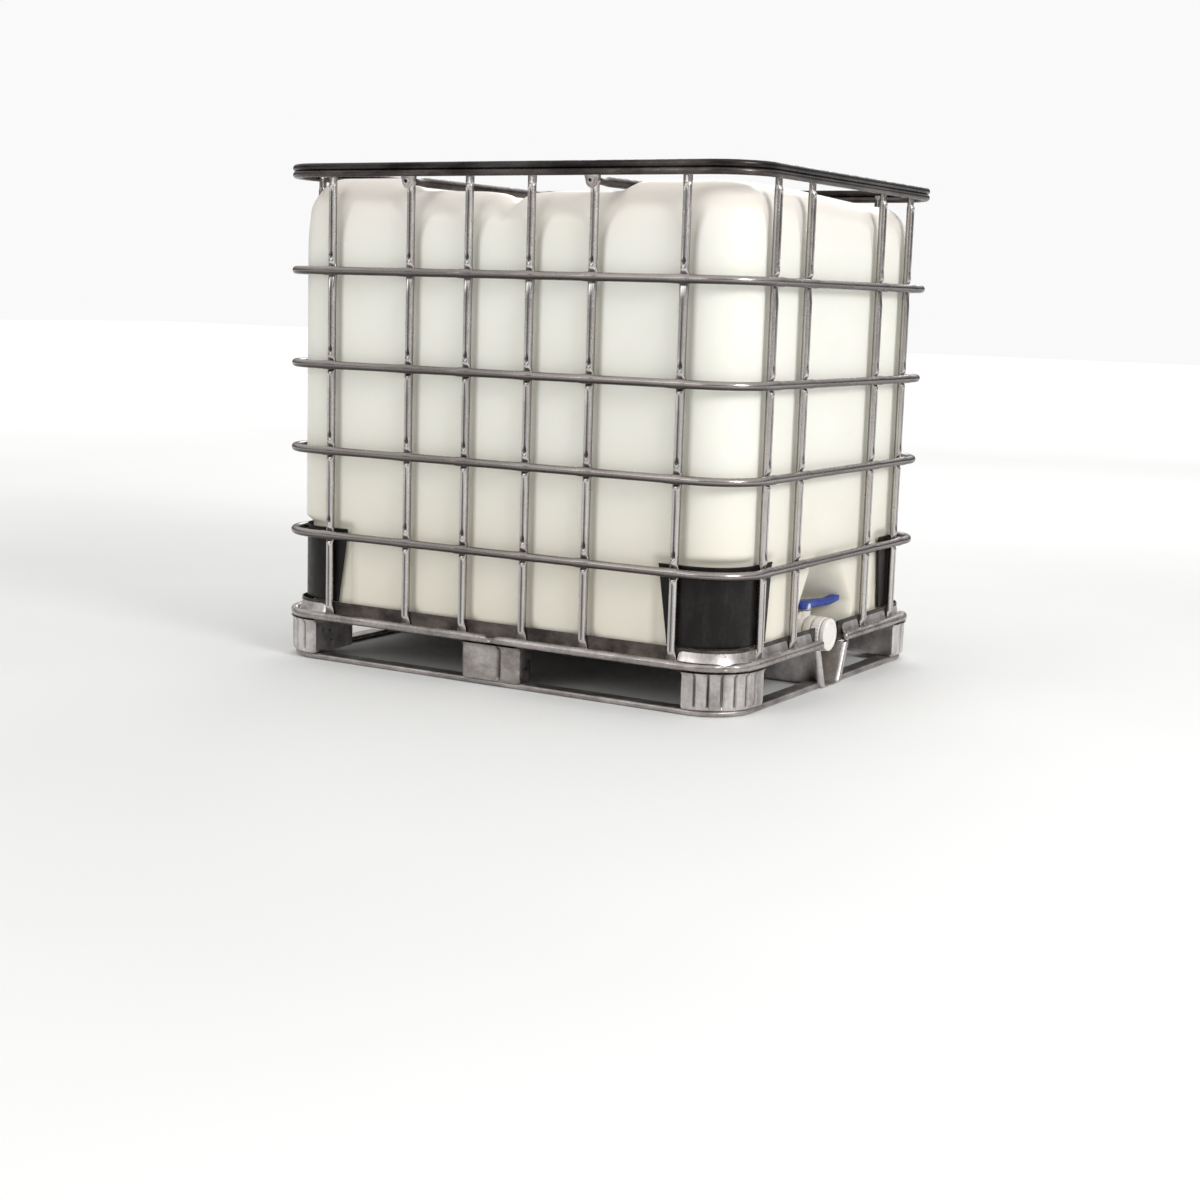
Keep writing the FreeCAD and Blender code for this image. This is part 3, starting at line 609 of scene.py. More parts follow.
def post_grid(lug):
    """A post standing at the origin, its outer side towards +x: its points and their painted shade,
    with darkening at the ring welds.
    """
    z_low, z_high = (corner[2] for corner in node_box("front_post_1"))
    starts = [z_low + 24] + [z + 30 for z in RING_Z]
    ends = [z - 24 for z in RING_Z] + [z_high - 42]
    spots = RING_Z + starts + ends + [z_high - 26, z_low + 10]
    heights = stations(z_low, z_high, 30.0, 2.5, spots, 15.0)
    angles = np.linspace(-math.pi, math.pi, 60, endpoint=False)
    pressed = sum(1 - smooth(6.0, 19.0, np.abs(heights - z)) for z in RING_Z)
    collar = smooth(z_high - 36, z_high - 28, heights)
    foot = 1 - smooth(z_low + 6, z_low + 30, heights)
    out_depth = TUBE_R - 5.7 * pressed - (0.0 if lug else 3.4) * collar - 7.2 * foot
    if lug:
        out_depth += 4.2 * hump(heights, z_high - 26, 13.0)
    in_depth = TUBE_R - 1.0 * pressed - 4.5 * foot - 1.5 * collar
    half_width = TUBE_R + 2.4 * pressed + 3.2 * foot + (3.0 if lug else 1.2) * collar
    channel = sum(smooth(low - 5, low + 4, heights) * (1 - smooth(high - 3, high + 4, heights))
                  for low, high in zip(starts, ends))
    drop = sum(hump(heights, low + 5, 7.0) for low in starts[1:])
    groove, pit, line = (np.exp(-((angles / width) ** 4)) for width in (0.46, 0.58, 0.24))
    weld_sides = hump(np.abs(angles), 1.3, 0.5)
    flanks = 0.60 * smooth(1.0, 1.9, angles) + 0.60 * smooth(1.5, 2.2, -angles)
    points, dirt_and_painted_shade = [], []
    for row, z in enumerate(heights):
        out = np.where(np.cos(angles) > 0, out_depth[row], in_depth[row]) * np.cos(angles)
        out = out - groove * 3.1 * channel[row] - pit * 2.0 * drop[row]
        points.append(level(out, np.sin(angles) * half_width[row], z))
        # Painted shade: a dark line down each channel, dark pits above the rings and darker flanks,
        # plus darkening beside the ring welds.
        dirt_and_painted_shade.append(0.80 * line * channel[row] + 0.95 * pit * drop[row]
                    + 0.45 * pressed[row] * weld_sides + flanks)
    return np.array(points), np.clip(dirt_and_painted_shade, 0, 0.94).ravel()


def turn_and_place(points, angle, x, y):
    """Turn points about Z and move them."""
    turn = np.array([[math.cos(angle), -math.sin(angle), 0],
                     [math.sin(angle), math.cos(angle), 0], [0, 0, 1]])
    return points @ turn.T + np.array([x, y, 0.0])


def plate(name, outline, thickness, material, matrix, bevel):
    """A flat plate from an outline in its own plane, extruded both ways and rounded."""
    count = len(outline)
    verts = [(a, b, side * thickness / 2) for side in (-1, 1) for a, b in outline]
    faces = [tuple(range(count))[::-1], tuple(range(count, 2 * count))]
    faces += [(i, (i + 1) % count, count + (i + 1) % count, count + i) for i in range(count)]
    obj = make_object(name, verts, faces, material)
    obj.data.transform(Matrix.Scale(1 / MM, 4) @ matrix @ Matrix.Scale(MM, 4))
    return sharpen(finish(obj, bevel=bevel, segments=3, angle=30), 45)


def make_lug(x, side):
    """The round-ended ear at a post's top, which the bar's screw goes through."""
    screw_z = node_box("crossbar_screws")[0][2] + 8.5
    arc = [math.radians(a) for a in range(190, 351, 16)]
    outline = [(13.5 * math.cos(a), 15 * math.sin(a)) for a in arc]
    outline += [(16.5, 8), (19.0, 15), (19.0, 19.5), (-19.0, 19.5), (-19.0, 15), (-16.5, 8)]
    stand = Matrix.Translation((x, side * (HALF_Y - 7.4), screw_z))
    return plate("ear", outline, 4.8, RIM, stand @ Matrix.Rotation(math.pi / 2, 4, "X"), 1.4)


def make_posts():
    """All the posts; the second and fifth on each long side carry ears."""
    turns = {"front": 0.0, "left": math.pi / 2, "rear": math.pi, "right": -math.pi / 2}
    shapes = {lug: post_grid(lug) for lug in (False, True)}
    for face, places in POSTS.items():
        long_side = face in ("left", "right")
        for number, place in enumerate(places, 1):
            lug = long_side and number in (2, 5)
            x = place[0] if long_side else math.copysign(POST_DEPTH_X, place[0])
            y = math.copysign(POST_DEPTH_Y, place[1]) if long_side else place[1]
            points, dirt_and_painted_shade = shapes[lug]
            name = "%s_post_%d" % (face, number)
            obj = grid_object(name + "_tube", turn_and_place(points, turns[face], x, y), POST,
                              close_v=True, cap_start=True, cap_end=True)
            if lug:
                obj = merge(name + "_tube", [obj, make_lug(x, math.copysign(1, y))])
            # Painted shade along the post's channels, pits and flanks.
            paint(obj, "grime_and_painted_shade", dirt_and_painted_shade)
            keep(obj, [name])


def make_bars():
    """The two tubes across the top, pressed flat at their ends, and their screws."""
    heads = []
    angles = full_turn(28)
    for node in ("front_crossbar", "rear_crossbar"):
        low, high = node_box(node)
        x, z = (low[0] + high[0]) / 2, (low[2] + high[2]) / 2
        points = []
        for y in stations(low[1], high[1], 40.0, 6.0, [low[1], high[1]], 60.0):
            flat = 1 - float(smooth(14.0, 48.0, high[1] - abs(y)))
            width, tall = TUBE_R * (1.15 + 0.13 * flat), TUBE_R * (1.20 - 0.40 * flat)
            points.append(np.stack([x + np.cos(angles) * width, np.full(len(angles), y),
                                    z + 1.0 - flat + np.sin(angles) * tall], axis=1))
        obj = grid_object(node + "_tube", np.array(points), BAR, close_v=True, cap_start=True,
                          cap_end=True, flip=True)
        keep(obj, [node])
        heads += [make_screw_head(x, side, z) for side in (-1, 1)]
    keep(merge("crossbar_screw_set", heads), ["crossbar_screws"])


SOCKET_R = 4.3
SCREW_SEGMENTS = 36


def hexagon(angles):
    """Distance to a hexagon's edge at each angle, where its flats are 1 from the middle."""
    return 1 / np.cos((angles % (math.pi / 3)) - math.pi / 6)


def hex_socket(angles, radii, height):
    """Round rings outside the socket, and six-sided ones in it."""
    return np.where(radii < SOCKET_R, radii * hexagon(angles), radii)


def make_screw_head(x, side, z):
    """A domed screw head with a washer and a six-sided socket."""
    profile = [(0.05, 1.0), (3.4, 1.0), (3.5, 4.0), (4.6, 4.2), (6.4, 3.4), (7.3, 2.0),
               (7.4, 1.2), (8.6, 1.1), (8.7, 0.2), (4.0, -0.2), (4.0, -46.0), (0.05, -46.0)]
    obj = lathe("screw_head", profile, BOLT, segments=SCREW_SEGMENTS, radial=hex_socket)
    # Painted shade in the six-sided socket and under the washer's rim.
    shade = [0.96 if radius < SOCKET_R and height > 0 else
             0.7 if radius > 8.6 and height < 1 else 0.0 for radius, height in profile]
    paint(obj, "grime_and_painted_shade", np.repeat(shade, SCREW_SEGMENTS))
    place = Matrix.Translation((x / MM, side * (HALF_Y - 5.0) / MM, z / MM))
    obj.data.transform(place @ Matrix.Rotation(-side * math.pi / 2, 4, "X"))
    return sharpen(obj, 40)


# ---------------------------------------------------------------- pallet
def make_rim():
    """The rim tube, crimped at mid-length, pinched at the corners and shut at the valve."""
    gap, crimp_x = 58.0, 8.0
    path = round_path(HALF_X - RIM_R, HALF_Y - RIM_R, CORNER_R - RIM_R, 16.0, 5.0,
                      [crimp_x], [-gap, gap], 40.0, bends=22)
    path = path[~((path[:, 2] > STRAIGHT) & (np.abs(path[:, 1]) < gap))]
    angles = full_turn(26)
    random = np.random.default_rng(7)
    radii = RIM_R - np.abs(random.normal(0, 0.14, (len(path), len(angles))))
    face_x, face_y = np.abs(path[:, 2]), np.abs(path[:, 3])
    pinch = np.where(np.minimum(face_x, face_y) > 0.02,
                     hump(np.abs(face_x - face_y), 0.0, 0.16), 0.0)
    crimp = np.where(face_y > STRAIGHT,
                     hump(path[:, 0] * -np.sign(path[:, 3]), crimp_x, 10.0), 0.0)
    end = np.where(path[:, 2] > STRAIGHT, 1 - smooth(gap, gap + 30, np.abs(path[:, 1])), 0.0)
    crease = hump(angles, math.pi / 2, 0.7)
    outer = hump(angles, 0.0, 0.5) + hump(angles, 2 * math.pi, 0.5)

    def section(index):
        pinched, crimped, ended = pinch[index], crimp[index], end[index]
        squash = 0.42 * pinched + 0.60 * crimped + 0.55 * ended
        out = np.cos(angles) * radii[index] * (1 - 0.25 * pinched - 0.3 * ended)
        out = out - outer * RIM_R * (0.45 * pinched + 0.55 * crimped)
        up = np.sin(angles) * radii[index] * (1 - 0.35 * squash)
        up = up - crease * RIM_R * (0.9 * crimped + 0.35 * pinched)
        return np.stack([out, RIM_Z - 1.0 * squash + up], axis=1)

    obj = sweep("rim_tube_shell", path, section, RIM, closed=False)
    keep(obj, ["pallet_rim_tube"])


def make_tray():
    """The dark pan, and the pale pressed plates that stand in front of its wall."""
    inset, flat = 29.5, 150.0
    flange = inset - (HALF_X - TRAY_HIGH[0]) - 1.5
    path = round_path(HALF_X - inset, HALF_Y - inset, CORNER_R - inset, 30.0, 6.0, [],
                      POST_Y + [-62.0, 62.0], 30.0, bends=16)
    floor, top = TRAY_LOW[2] + 1.2, TRAY_HIGH[2]
    outline = np.array([(-flat, floor), (-40.0, floor), (-8.0, floor), (-3.0, floor + 0.6),
                        (-0.8, floor + 3.5), (0.0, floor + 9), (0.0, top - 3), (0.9, top - 0.8),
                        (2.2, top - 1.0), (2.6, top - 3.5), (2.6, floor + 16),
                        (4.5, floor + 13.2), (flange, floor + 12.6)])
    rows = swept(path, lambda index: outline)
    edge = np.array([HALF_X - inset, HALF_Y - inset])
    rows[:, 0, :2] = path[:, :2] * ((edge - flat) / edge)
    centre = rows[:, 0] * np.array([0.02, 0.02, 1.0])
    rows = np.concatenate([centre[:, None], rows], axis=1)
    pan = cut_notch(grid_object("pan", rows, TRAY, close_u=True), 388.0, 60.0)
    plates = [corner_plate(x, y) for x in (-1, 1) for y in (-1, 1)]
    plates += [tab(1, sign, low, high) for sign in (-1, 1)
               for low, high in ((203.0, 331.0), (84.0, 171.0))]
    plates += [tab(-1, sign, 203.0, 331.0) for sign in (-1, 1)] + [tab(-1, 1, -171.0, 171.0)]
    obj = merge("tray_pressing", [finish(pan, thickness=1.6)] + plates)
    keep(sharpen(obj, 50), ["pallet_tray"])


def cut_notch(obj, x_from, half):
    """Remove the faces of the pan in front of the valve."""
    work = bmesh.new()
    work.from_mesh(obj.data)
    middles = [(face, face.calc_center_median() * MM) for face in work.faces]
    doomed = [face for face, middle in middles if middle.x > x_from and abs(middle.y) < half]
    bmesh.ops.delete(work, geom=doomed, context="FACES")
    work.to_mesh(obj.data)
    work.free()
    return obj


PLATE_INSET = 19.5
PLATE_LOW = 101.5
PLATE_LEAN = 8.0


def plate_strip(run, high, round_end):
    """A pale strip that stands on the flange, with rounded ends, along (x, y, out_x, out_y)."""
    along = distances(run)
    to_end = np.minimum(along, along[-1] - along)
    fractions = np.array([0.0, 0.12, 0.3, 0.6, 0.85, 0.95, 1.0])
    lean = -PLATE_LEAN * np.array([0.0, 0.18, 0.42, 0.74, 0.93, 1.02, 1.18])

    def section(index):
        past = 1 - min(1.0, to_end[index] / round_end)
        drop = round_end * (1 - math.sqrt(max(0.0, 1 - past ** 2)))
        return np.stack([lean, PLATE_LOW + (high - drop * 0.75 - PLATE_LOW) * fractions], axis=1)

    return finish(grid_object("strip", swept(run, section), ZINC), thickness=1.8)


def corner_plate(sign_x, sign_y):
    """A corner plate from the last long-side post round to the last short-side post."""
    radius = CORNER_R - PLATE_INSET
    start_x, start_y = max(POST_X) + 14, max(POST_Y) - 8
    outer_x, outer_y = HALF_X - PLATE_INSET, HALF_Y - PLATE_INSET
    along_x = stations(start_x, outer_x - radius, 6.0, 3.0, [start_x], 14)
    along_y = stations(start_y, outer_y - radius, 6.0, 3.0, [start_y], 14)[::-1]
    run = [(x, outer_y, 0, 1) for x in along_x] + quarter(outer_x, outer_y, radius, 16)[1:]
    run += [(outer_x, y, 1, 0) for y in along_y[1:]]
    return plate_strip(np.array(run) * [sign_x, sign_y, sign_x, sign_y], 133.5, 13.0)


def tab(side, sign, low, high):
    """A pale tab between two posts, on the valve side (1) or the rear side (-1)."""
    ys = stations(low, high, 8.0, 2.5, [low, high], 14)
    run = [(side * (HALF_X - PLATE_INSET), y * sign, side, 0) for y in ys]
    return plate_strip(np.array(run), 131.5, 11.0)


def foot_loft(name, outline, flute_depth, low, high, material):
    """A pressed foot from its outline (x, y, out_x, out_y, groove), drawn in at the bottom."""
    x, y, out_x, out_y, groove = np.array(outline, float).T
    levels = [(low, 5.0), (low + 1.2, 2.4), (low + 4.5, 0.5), (low + 10, 0.0), (low + 25, -0.4),
              (high - 22, -0.4), (high - 9, 0.0), (high - 4, -1.2), (high - 1.5, -3.4),
              (high, -4.4)]
    rows, dirt_and_painted_shade = [], []
    for z, draw in levels:
        rise = smooth(low + 1, low + 12, z)
        fade = float(rise * (1 - smooth(high - 12, high - 3, z)))
        move = -(draw + flute_depth * fade * groove)
        rows.append(level(x + move * out_x, y + move * out_y, z))
        # Painted shade in the flutes, standing in for the dark reflections there.
        dirt_and_painted_shade.append(0.85 * np.clip(groove, 0, 1) ** 1.5 * rise)
    obj = grid_object(name, np.array(rows), material, close_v=True, cap_start=True, cap_end=True)
    paint(obj, "grime_and_painted_shade", np.concatenate(dirt_and_painted_shade))
    return obj


def grooves(distance, places, width):
    """Groove depth from 0 to 1 at a distance along the outline."""
    return sum(float(hump(distance, place, width)) for place in places)


def corner_outline():
    """Outline of the corner foot at positive x and y, with flutes round its outside."""
    low, high = node_box("corner_foot_2")
    radius = CORNER_R - (HALF_X - high[0])
    path = [(x, high[1], 0, 1) for x in np.arange(low[0] + 14, high[0] - radius, 2.0)]
    path += quarter(high[0], high[1], radius, 80)
    path += [(high[0], y, 1, 0) for y in np.arange(high[1] - radius, low[1] + 4, -2.0)[1:]]
    along = distances(path)
    places = [along[-1] * share for share in (0.13, 0.27, 0.41, 0.55, 0.69, 0.83)]
    outline = [(*point, grooves(at, places, 3.2)) for point, at in zip(path, along)]
    inner = [(high[0] - 5, low[1], 0.7, -0.7), (low[0] + 60, low[1], 0, -1),
             (low[0] + 16, low[1] + 1, 0, -1), (low[0] + 11, low[1] + 6, -1, 0),
             (low[0] + 10, low[1] + 70, -1, 0), (low[0] + 10, high[1] - 5, -0.7, 0.7)]
    return outline + [(*point, 0.0) for point in inner]


def make_feet():
    """Four fluted corner feet, two mid feet and the rear foot."""
    rise = 4.5
    outline = corner_outline()
    low, high = node_box("corner_foot_2")
    for number, signs in enumerate(CORNERS, 1):
        node = "corner_foot_%d" % number
        foot = foot_loft(node + "_pressing", outline, 5.4, low[2], high[2] + rise, ZINC)
        flip_mesh(foot, *signs)
        keep(sharpen(foot, 35), [node])
    low, high = node_box("side_foot_left")
    low = np.array([low[0] - 2, high[1] - 56, low[2]])
    high = np.array([high[0] - 10, high[1], high[2]])
    outline = mid_outline(low, high, [low[0] + 53])
    for node, sign in (("side_foot_left", 1), ("side_foot_right", -1)):
        # The mid feet take the darker rim zinc as painted shade: on the long sides they stand in
        # shade.
        foot = foot_loft(node + "_pressing", outline, 8.0, low[2] - 2, high[2] + rise, RIM)
        add_crease(foot, low, high)
        flip_mesh(foot, sign, sign)
        keep(sharpen(foot, 35), [node])
    low, high = node_box("rear_foot")
    outline = mid_outline((low[1], -high[0]), (high[1], -low[0]), [-24.0, 24.0])
    # The rear foot takes the darker rim zinc as painted shade as well.
    foot = foot_loft("rear_foot_pressing", outline, 6.0, low[2] - 2, high[2] + rise, RIM)
    foot.data.transform(Matrix.Rotation(math.pi / 2, 4, "Z"))
    keep(sharpen(foot, 35), ["rear_foot"])


def flip_mesh(obj, sign_x, sign_y):
    """Mirror a mesh in x and y, keeping its faces outward."""
    obj.data.transform(Matrix.Diagonal((sign_x, sign_y, 1, 1)))
    if sign_x * sign_y < 0:
        obj.data.flip_normals()


def mid_outline(low, high, flutes):
    """Outline of a mid foot on the +Y side, with deep flutes at the given x places."""
    corner = 14.0
    left_x, right_x, y = low[0] + corner, high[0] - corner, high[1] - corner
    turns = [(math.cos(a), math.sin(a)) for a in np.linspace(0, math.pi / 2, 7)]
    path = [(left_x - corner * c, y + corner * s, -c, s) for c, s in turns[:-1]]
    path += [(x, high[1], 0, 1) for x in np.arange(left_x, right_x + 0.1, 1.5)]
    path += [(right_x + corner * s, y + corner * c, s, c) for c, s in turns[1:]]
    outline = [(*point, grooves(point[0], flutes, 5.0)) for point in path]
    back = [(high[0], low[1] + 10, 1, 0), (high[0] - 6, low[1], 0.7, -0.7),
            (flutes[0], low[1], 0, -1), (low[0] + 6, low[1], -0.7, -0.7),
            (low[0], low[1] + 10, -1, 0)]
    return outline + [(*point, 0.0) for point in back]


def add_crease(obj, low, high):
    """The level crease across the wide part of a mid foot."""
    crease_z = (low[2] * 0.45 + high[2] * 0.55) / MM
    for vertex in obj.data.vertices:
        if vertex.co.y * MM > high[1] - 20:
            vertex.co.y -= 0.0022 * float(hump(vertex.co.z, crease_z, 0.004))


def make_support():
    """The open trough under the valve: two leaning cheeks, a narrow floor and rolled edges."""
    low, high = node_box("front_valve_support")
    top, mouth, lowest = high[2] + 3, high[0], 1.7
    half = np.array([(-66.0, top, -1, 0.05), (-62.0, top - 9, -1, 0.0),
                     (-37.0, 12.0, -0.93, -0.36), (-31.0, 3.5, -0.7, -0.3),
                     (-22.0, 1.6, -0.3, -0.1), (0.0, 1.4, 0, 0)])
    outline = np.concatenate([half, half[-2::-1] * [-1, 1, -1, 1]])
    rows = []
    for x, grow in ((low[0], 0.0), (low[0] + 50, 0.0), (mouth - 14, 0.0), (mouth - 7, 0.8),
                    (mouth - 3.2, 3.0), (mouth - 2.2, 6.0), (mouth - 2.2, 15.0),
                    (mouth - 4.0, 17.5), (mouth - 9.0, 18.5), (mouth - 15.0, 18.5)):
        y, z = (outline[:, :2] + outline[:, 2:] * grow).T
        rows.append(np.stack([np.full(len(y), x), y, np.maximum(z, lowest)], axis=1))
    obj = grid_object("valve_support_pressing", np.array(rows), ZINC)
    obj = finish(obj, thickness=3.0, subdivide=2)
    keep(sharpen(obj, 60), ["front_valve_support"])


def make_skid():
    """The flat rolled strip on the floor, with its ends under the valve support."""
    half, gap = 20.0, 46.0
    inset = HALF_X - SKID_HIGH[0] + half
    path = round_path(HALF_X - inset, HALF_Y - inset, CORNER_R - inset, 30.0, 8.0, [],
                      [-gap, gap], 20.0)
    path = path[~((path[:, 2] > STRAIGHT) & (np.abs(path[:, 1]) < gap))]
    radius = SKID_HIGH[2] / 2
    angles = full_turn(28)
    shift = np.where(np.cos(angles) > 0, half - radius, radius - half)
    dish = np.where(np.sin(angles) > 0, 0.9, 0.0) * (1 - np.abs(np.cos(angles)))
    outline = np.stack([np.cos(angles) * radius + shift,
                        radius + np.sin(angles) * radius - dish], axis=1)
    obj = sweep("skid_strip", path, lambda index: outline, SKID, closed=False)
    keep(obj, ["skid_frame"])


# ---------------------------------------------------------------- guards
def make_guard(number, sign_x, sign_y):
    """A black guard: a sheet round a corner, tapered downwards, with a rolled top lip."""
    low, high = node_box("corner_guard_2")
    top, bottom = high[2], low[2]
    radius, sheet = 100.0, 3.0
    levels = [(z, 0.0) for z in np.linspace(bottom, top - 9, 9)]
    levels += [(top - 6, 0.0), (top - 4.5, 0.5), (top - 2.5, 1.1), (top - 1.0, 0.9), (top, 0.0)]
    rows = []
    for z, lip in levels:
        taper = 1 - (z - bottom) / (top - bottom)
        line = [(x, high[1], 0, 1)
                for x in np.linspace(low[0] + 25 * taper, high[0] - radius, 14)]
        line += quarter(high[0], high[1], radius, 18)[1:-1]
        line += [(high[0], y, 1, 0)
                 for y in np.linspace(high[1] - radius, low[1] + 18 * taper, 16)]
        x, y, out_x, out_y = np.array(line).T
        out = lip - 1.7
        rows.append(level(x + out * out_x, y + out * out_y, z))
    node = "corner_guard_%d" % number
    obj = grid_object(node + "_shell", np.array(rows), BLACK)
    obj = finish(obj, thickness=sheet, bevel=0.9, angle=50)
    flip_mesh(obj, sign_x, sign_y)
    keep(sharpen(obj, 50), [node])


# ---------------------------------------------------------------- bottle
BOTTLE_R = 100.0
SHOULDER_R = 70.0
HEEL_R = 40.0
PANEL_RISE = 6.5
CORNER_RISE = 10.0
BASE_X = BOTTLE_HIGH[0] - 4.0
BASE_Y = BOTTLE_HIGH[1] - 4.0
FLOOR_Z = 92.0
CROWN_Z = BOTTLE_HIGH[2]
GUARD_TOP = 312.0
GUARDED_X = 394.0
GUARDED_Y = 276.0
POCKET_DEPTH = 133.0
NOTCH_X = -8.0
NECK_R = 75.0


def panel_rise(along, z, spots, guarded_from, top=1042.0):
    """How far the panels between the posts stand out, from 0 to 1."""
    corner = 46.0
    edge_in = 5.0 - to_nearest(along, spots) + corner
    over = max(0.4 * (z - top), 112.0 - z) + corner
    outside = np.hypot(np.maximum(edge_in, 0), max(over, 0))
    rise = 1 - smooth(-17.0, 0.0, outside + np.minimum(np.maximum(edge_in, over), 0) - corner)
    guarded = smooth(guarded_from - 12, guarded_from, np.abs(along))
    return rise * (1 - guarded * (1 - smooth(GUARD_TOP - 4, GUARD_TOP + 14, z)))


def bottle_row(path, inset, z):
    """One contour of the bottle, drawn in by inset, with its panels, and each point's rise."""
    face_x, face_y = np.abs(path[:, 2]), np.abs(path[:, 3])
    long_side, short_side = face_y > STRAIGHT, face_x > STRAIGHT
    bend = ~(long_side | short_side)
    rise, swell = np.zeros(len(path)), np.zeros(len(path))
    rise[long_side] = panel_rise(path[long_side, 0], z, POST_X, GUARDED_X)
    rise[short_side] = panel_rise(path[short_side, 1], z, POST_Y, GUARDED_Y)
    past_post = np.degrees(np.arctan2(face_y[bend], face_x[bend]))
    along = max(POST_X) + 16.0 + np.minimum(past_post, 90 - past_post) * 2.0
    rise[bend] = panel_rise(along, z, POST_X, GUARDED_X)
    no_top = 2000.0
    swell[bend] = panel_rise(along, z, POST_X, GUARDED_X, no_top) * (1 - smooth(930.0, 1050.0, z))
    fullness = np.abs(2 * path[:, 2] * path[:, 3]) * CORNER_RISE
    out = PANEL_RISE * rise + fullness * swell - inset
    return level(path[:, 0] + path[:, 2] * out, path[:, 1] + path[:, 3] * out, z), rise


def pocket_depth(y, z):
    """Depth of the valve pocket in the front face at (y, z)."""
    half = np.interp(z, [170.0, 300.0], [152.0, 66.0])
    reach = np.interp(z, [150.0, 225.0, 300.0], [POCKET_DEPTH, 62.0, 0.0])
    side = np.where(y < 0, smooth(0.0, 22.0, half + y), smooth(0.0, 70.0, half - y))
    return reach * side * float(1 - smooth(288, 304, z))


def top_shape(points):
    """The top: two end pads, a lower middle that is dished inside, and soft notches."""
    x, y, z = points[..., 0], points[..., 1], points[..., 2]
    near_top = smooth(930.0, 1040.0, z)
    middle = 1 - smooth(240.0, 306.0, np.abs(x))
    inside = 1 - smooth(285.0, 385.0, np.abs(y))
    platform = 1 - smooth(84.0, 140.0, np.hypot(x, y))
    drop = middle * (17.0 + 20.0 * inside - 10.0 * platform * inside)
    notch = middle * (hump(x, NOTCH_X, 22.0) * 17.0 + hump(x, NOTCH_X, 58.0) * 8.0)
    notch = notch * smooth(200.0, 300.0, np.abs(y)) * smooth(985.0, 1055.0, z)
    rear = smooth(240.0, 320.0, -x) * 11.0
    front = smooth(240.0, 320.0, x) * (4.0 - 13.0 * smooth(-200.0, 330.0, y))
    points[..., 2] = z + near_top * (rear + front - drop) - notch
    return points


def make_bottle():
    """The blow-moulded bottle: panels between the posts, pads on top, and a valve pocket."""
    spots_y = POST_Y + [-140.0, 140.0, -125.0, 125.0, -40.0, 40.0]
    path = round_path(BASE_X, BASE_Y, BOTTLE_R, 13.0, 4.0, POST_X + [NOTCH_X], spots_y, 44.0, 30)
    contours = [(HEEL_R * (1 - math.sin(a)), FLOOR_Z + HEEL_R * (1 - math.cos(a)))
                for a in np.linspace(0, math.pi / 2, 9)]
    contours += [(0.0, z) for z in stations(FLOOR_Z + HEEL_R, CROWN_Z - SHOULDER_R, 16.0, 6.0,
                                            [170.0, 220.0, 270.0, 310.0, 980.0, 1002.0],
                                            36.0)[1:-1]]
    contours += [(SHOULDER_R * (1 - math.cos(a)), CROWN_Z - SHOULDER_R * (1 - math.sin(a)))
                 for a in np.linspace(0, math.pi / 2, 22)]
    front = path[:, 2] > STRAIGHT
    rows, rises = [], []
    for inset, z in contours:
        ring, rise = bottle_row(path, inset, z)
        ring[front, 0] -= pocket_depth(ring[front, 1], z)
        rows.append(ring)
        rises.append(rise)
    bottom = contour_fill(rows[0], rows[0] * np.array([0.02, 0.02, 1.0]))
    neck_foot = on_circle(rows[-1], NECK_R, CROWN_Z)
    grid = top_shape(np.array(bottom[::-1] + rows + contour_fill(rows[-1], neck_foot)))
    grid = np.concatenate([grid, filler_neck(grid[-1])], axis=0)
    body = grid_object("bottle_shell", grid, BOTTLE, close_v=True, cap_start=True, flip=True)
    height = np.array(rows)[:, :, 2]
    # Painted shade in the grooves beside the posts, fading out near the floor and at the top.
    groove = 0.34 * hump(np.array(rises), 0.18, 0.30) * smooth(135.0, 190.0, height)
    groove = groove * (1 - 0.7 * smooth(950.0, 1010.0, height))
    blank = np.zeros((len(bottom), len(path)))
    paint(body, "groove", np.concatenate([blank, groove]).ravel())
    keep(sharpen(body, 62), ["bottle"])
    keep(sharpen(outlet_neck(), 40), [])


def on_circle(row, radius, z):
    """The row's points moved along their bearings onto a circle."""
    angle = np.arctan2(row[:, 1], row[:, 0])
    return level(np.cos(angle) * radius, np.sin(angle) * radius, z)


def contour_fill(edge, target):
    """Contours from the edge of the top or bottom in to a target row."""
    return [edge * (1 - step) + target * step
            for step in (0.03, 0.06, 0.09, 0.12, 0.16, 0.20, 0.24, 0.28, 0.34, 0.40, 0.47, 0.54,
                         0.61, 0.68, 0.75, 0.82, 0.88, 0.94, 1.0)]


def filler_neck(base):
    """The filler neck: up its outside, over the rim and down inside."""
    profile = ((NECK_R, base[:, 2].mean() + 2), (74.6, 1056.0), (74.6, 1062.0), (73.8, 1063.0),
               (69.3, 1063.0), (68.5, 1062.0), (68.5, 1044.0), (70.0, 1041.0))
    return np.array([on_circle(base, radius, z) for radius, z in profile])


VALVE_LOW, VALVE_HIGH = node_box("outlet_cap")
VALVE_Z = (VALVE_LOW[2] + VALVE_HIGH[2]) / 2
BALL_X = 515.0


def outlet_lathe(name, profile, material, segments, radial=None, close=False):
    """A profile of (radius, x) turned about the outlet's axis."""
    return lathe(name, profile, material, "x", (0, 0, VALVE_Z), segments, radial, close)


def outer_radius(low, high):
    """A round piece's outer radius, from its box."""
    return (high[2] - low[2]) / 2


def outlet_neck():
    """The outlet neck that stands out of the pocket's back wall."""
    profile = [(34.0, 408.0), (31.5, 432.0), (30.0, 438.0), (30.0, 461.0), (29.0, 462.0),
               (27.0, 462.0), (26.0, 461.0), (26.0, 412.0)]
    return outlet_lathe("outlet_neck", profile, BOTTLE, 48)


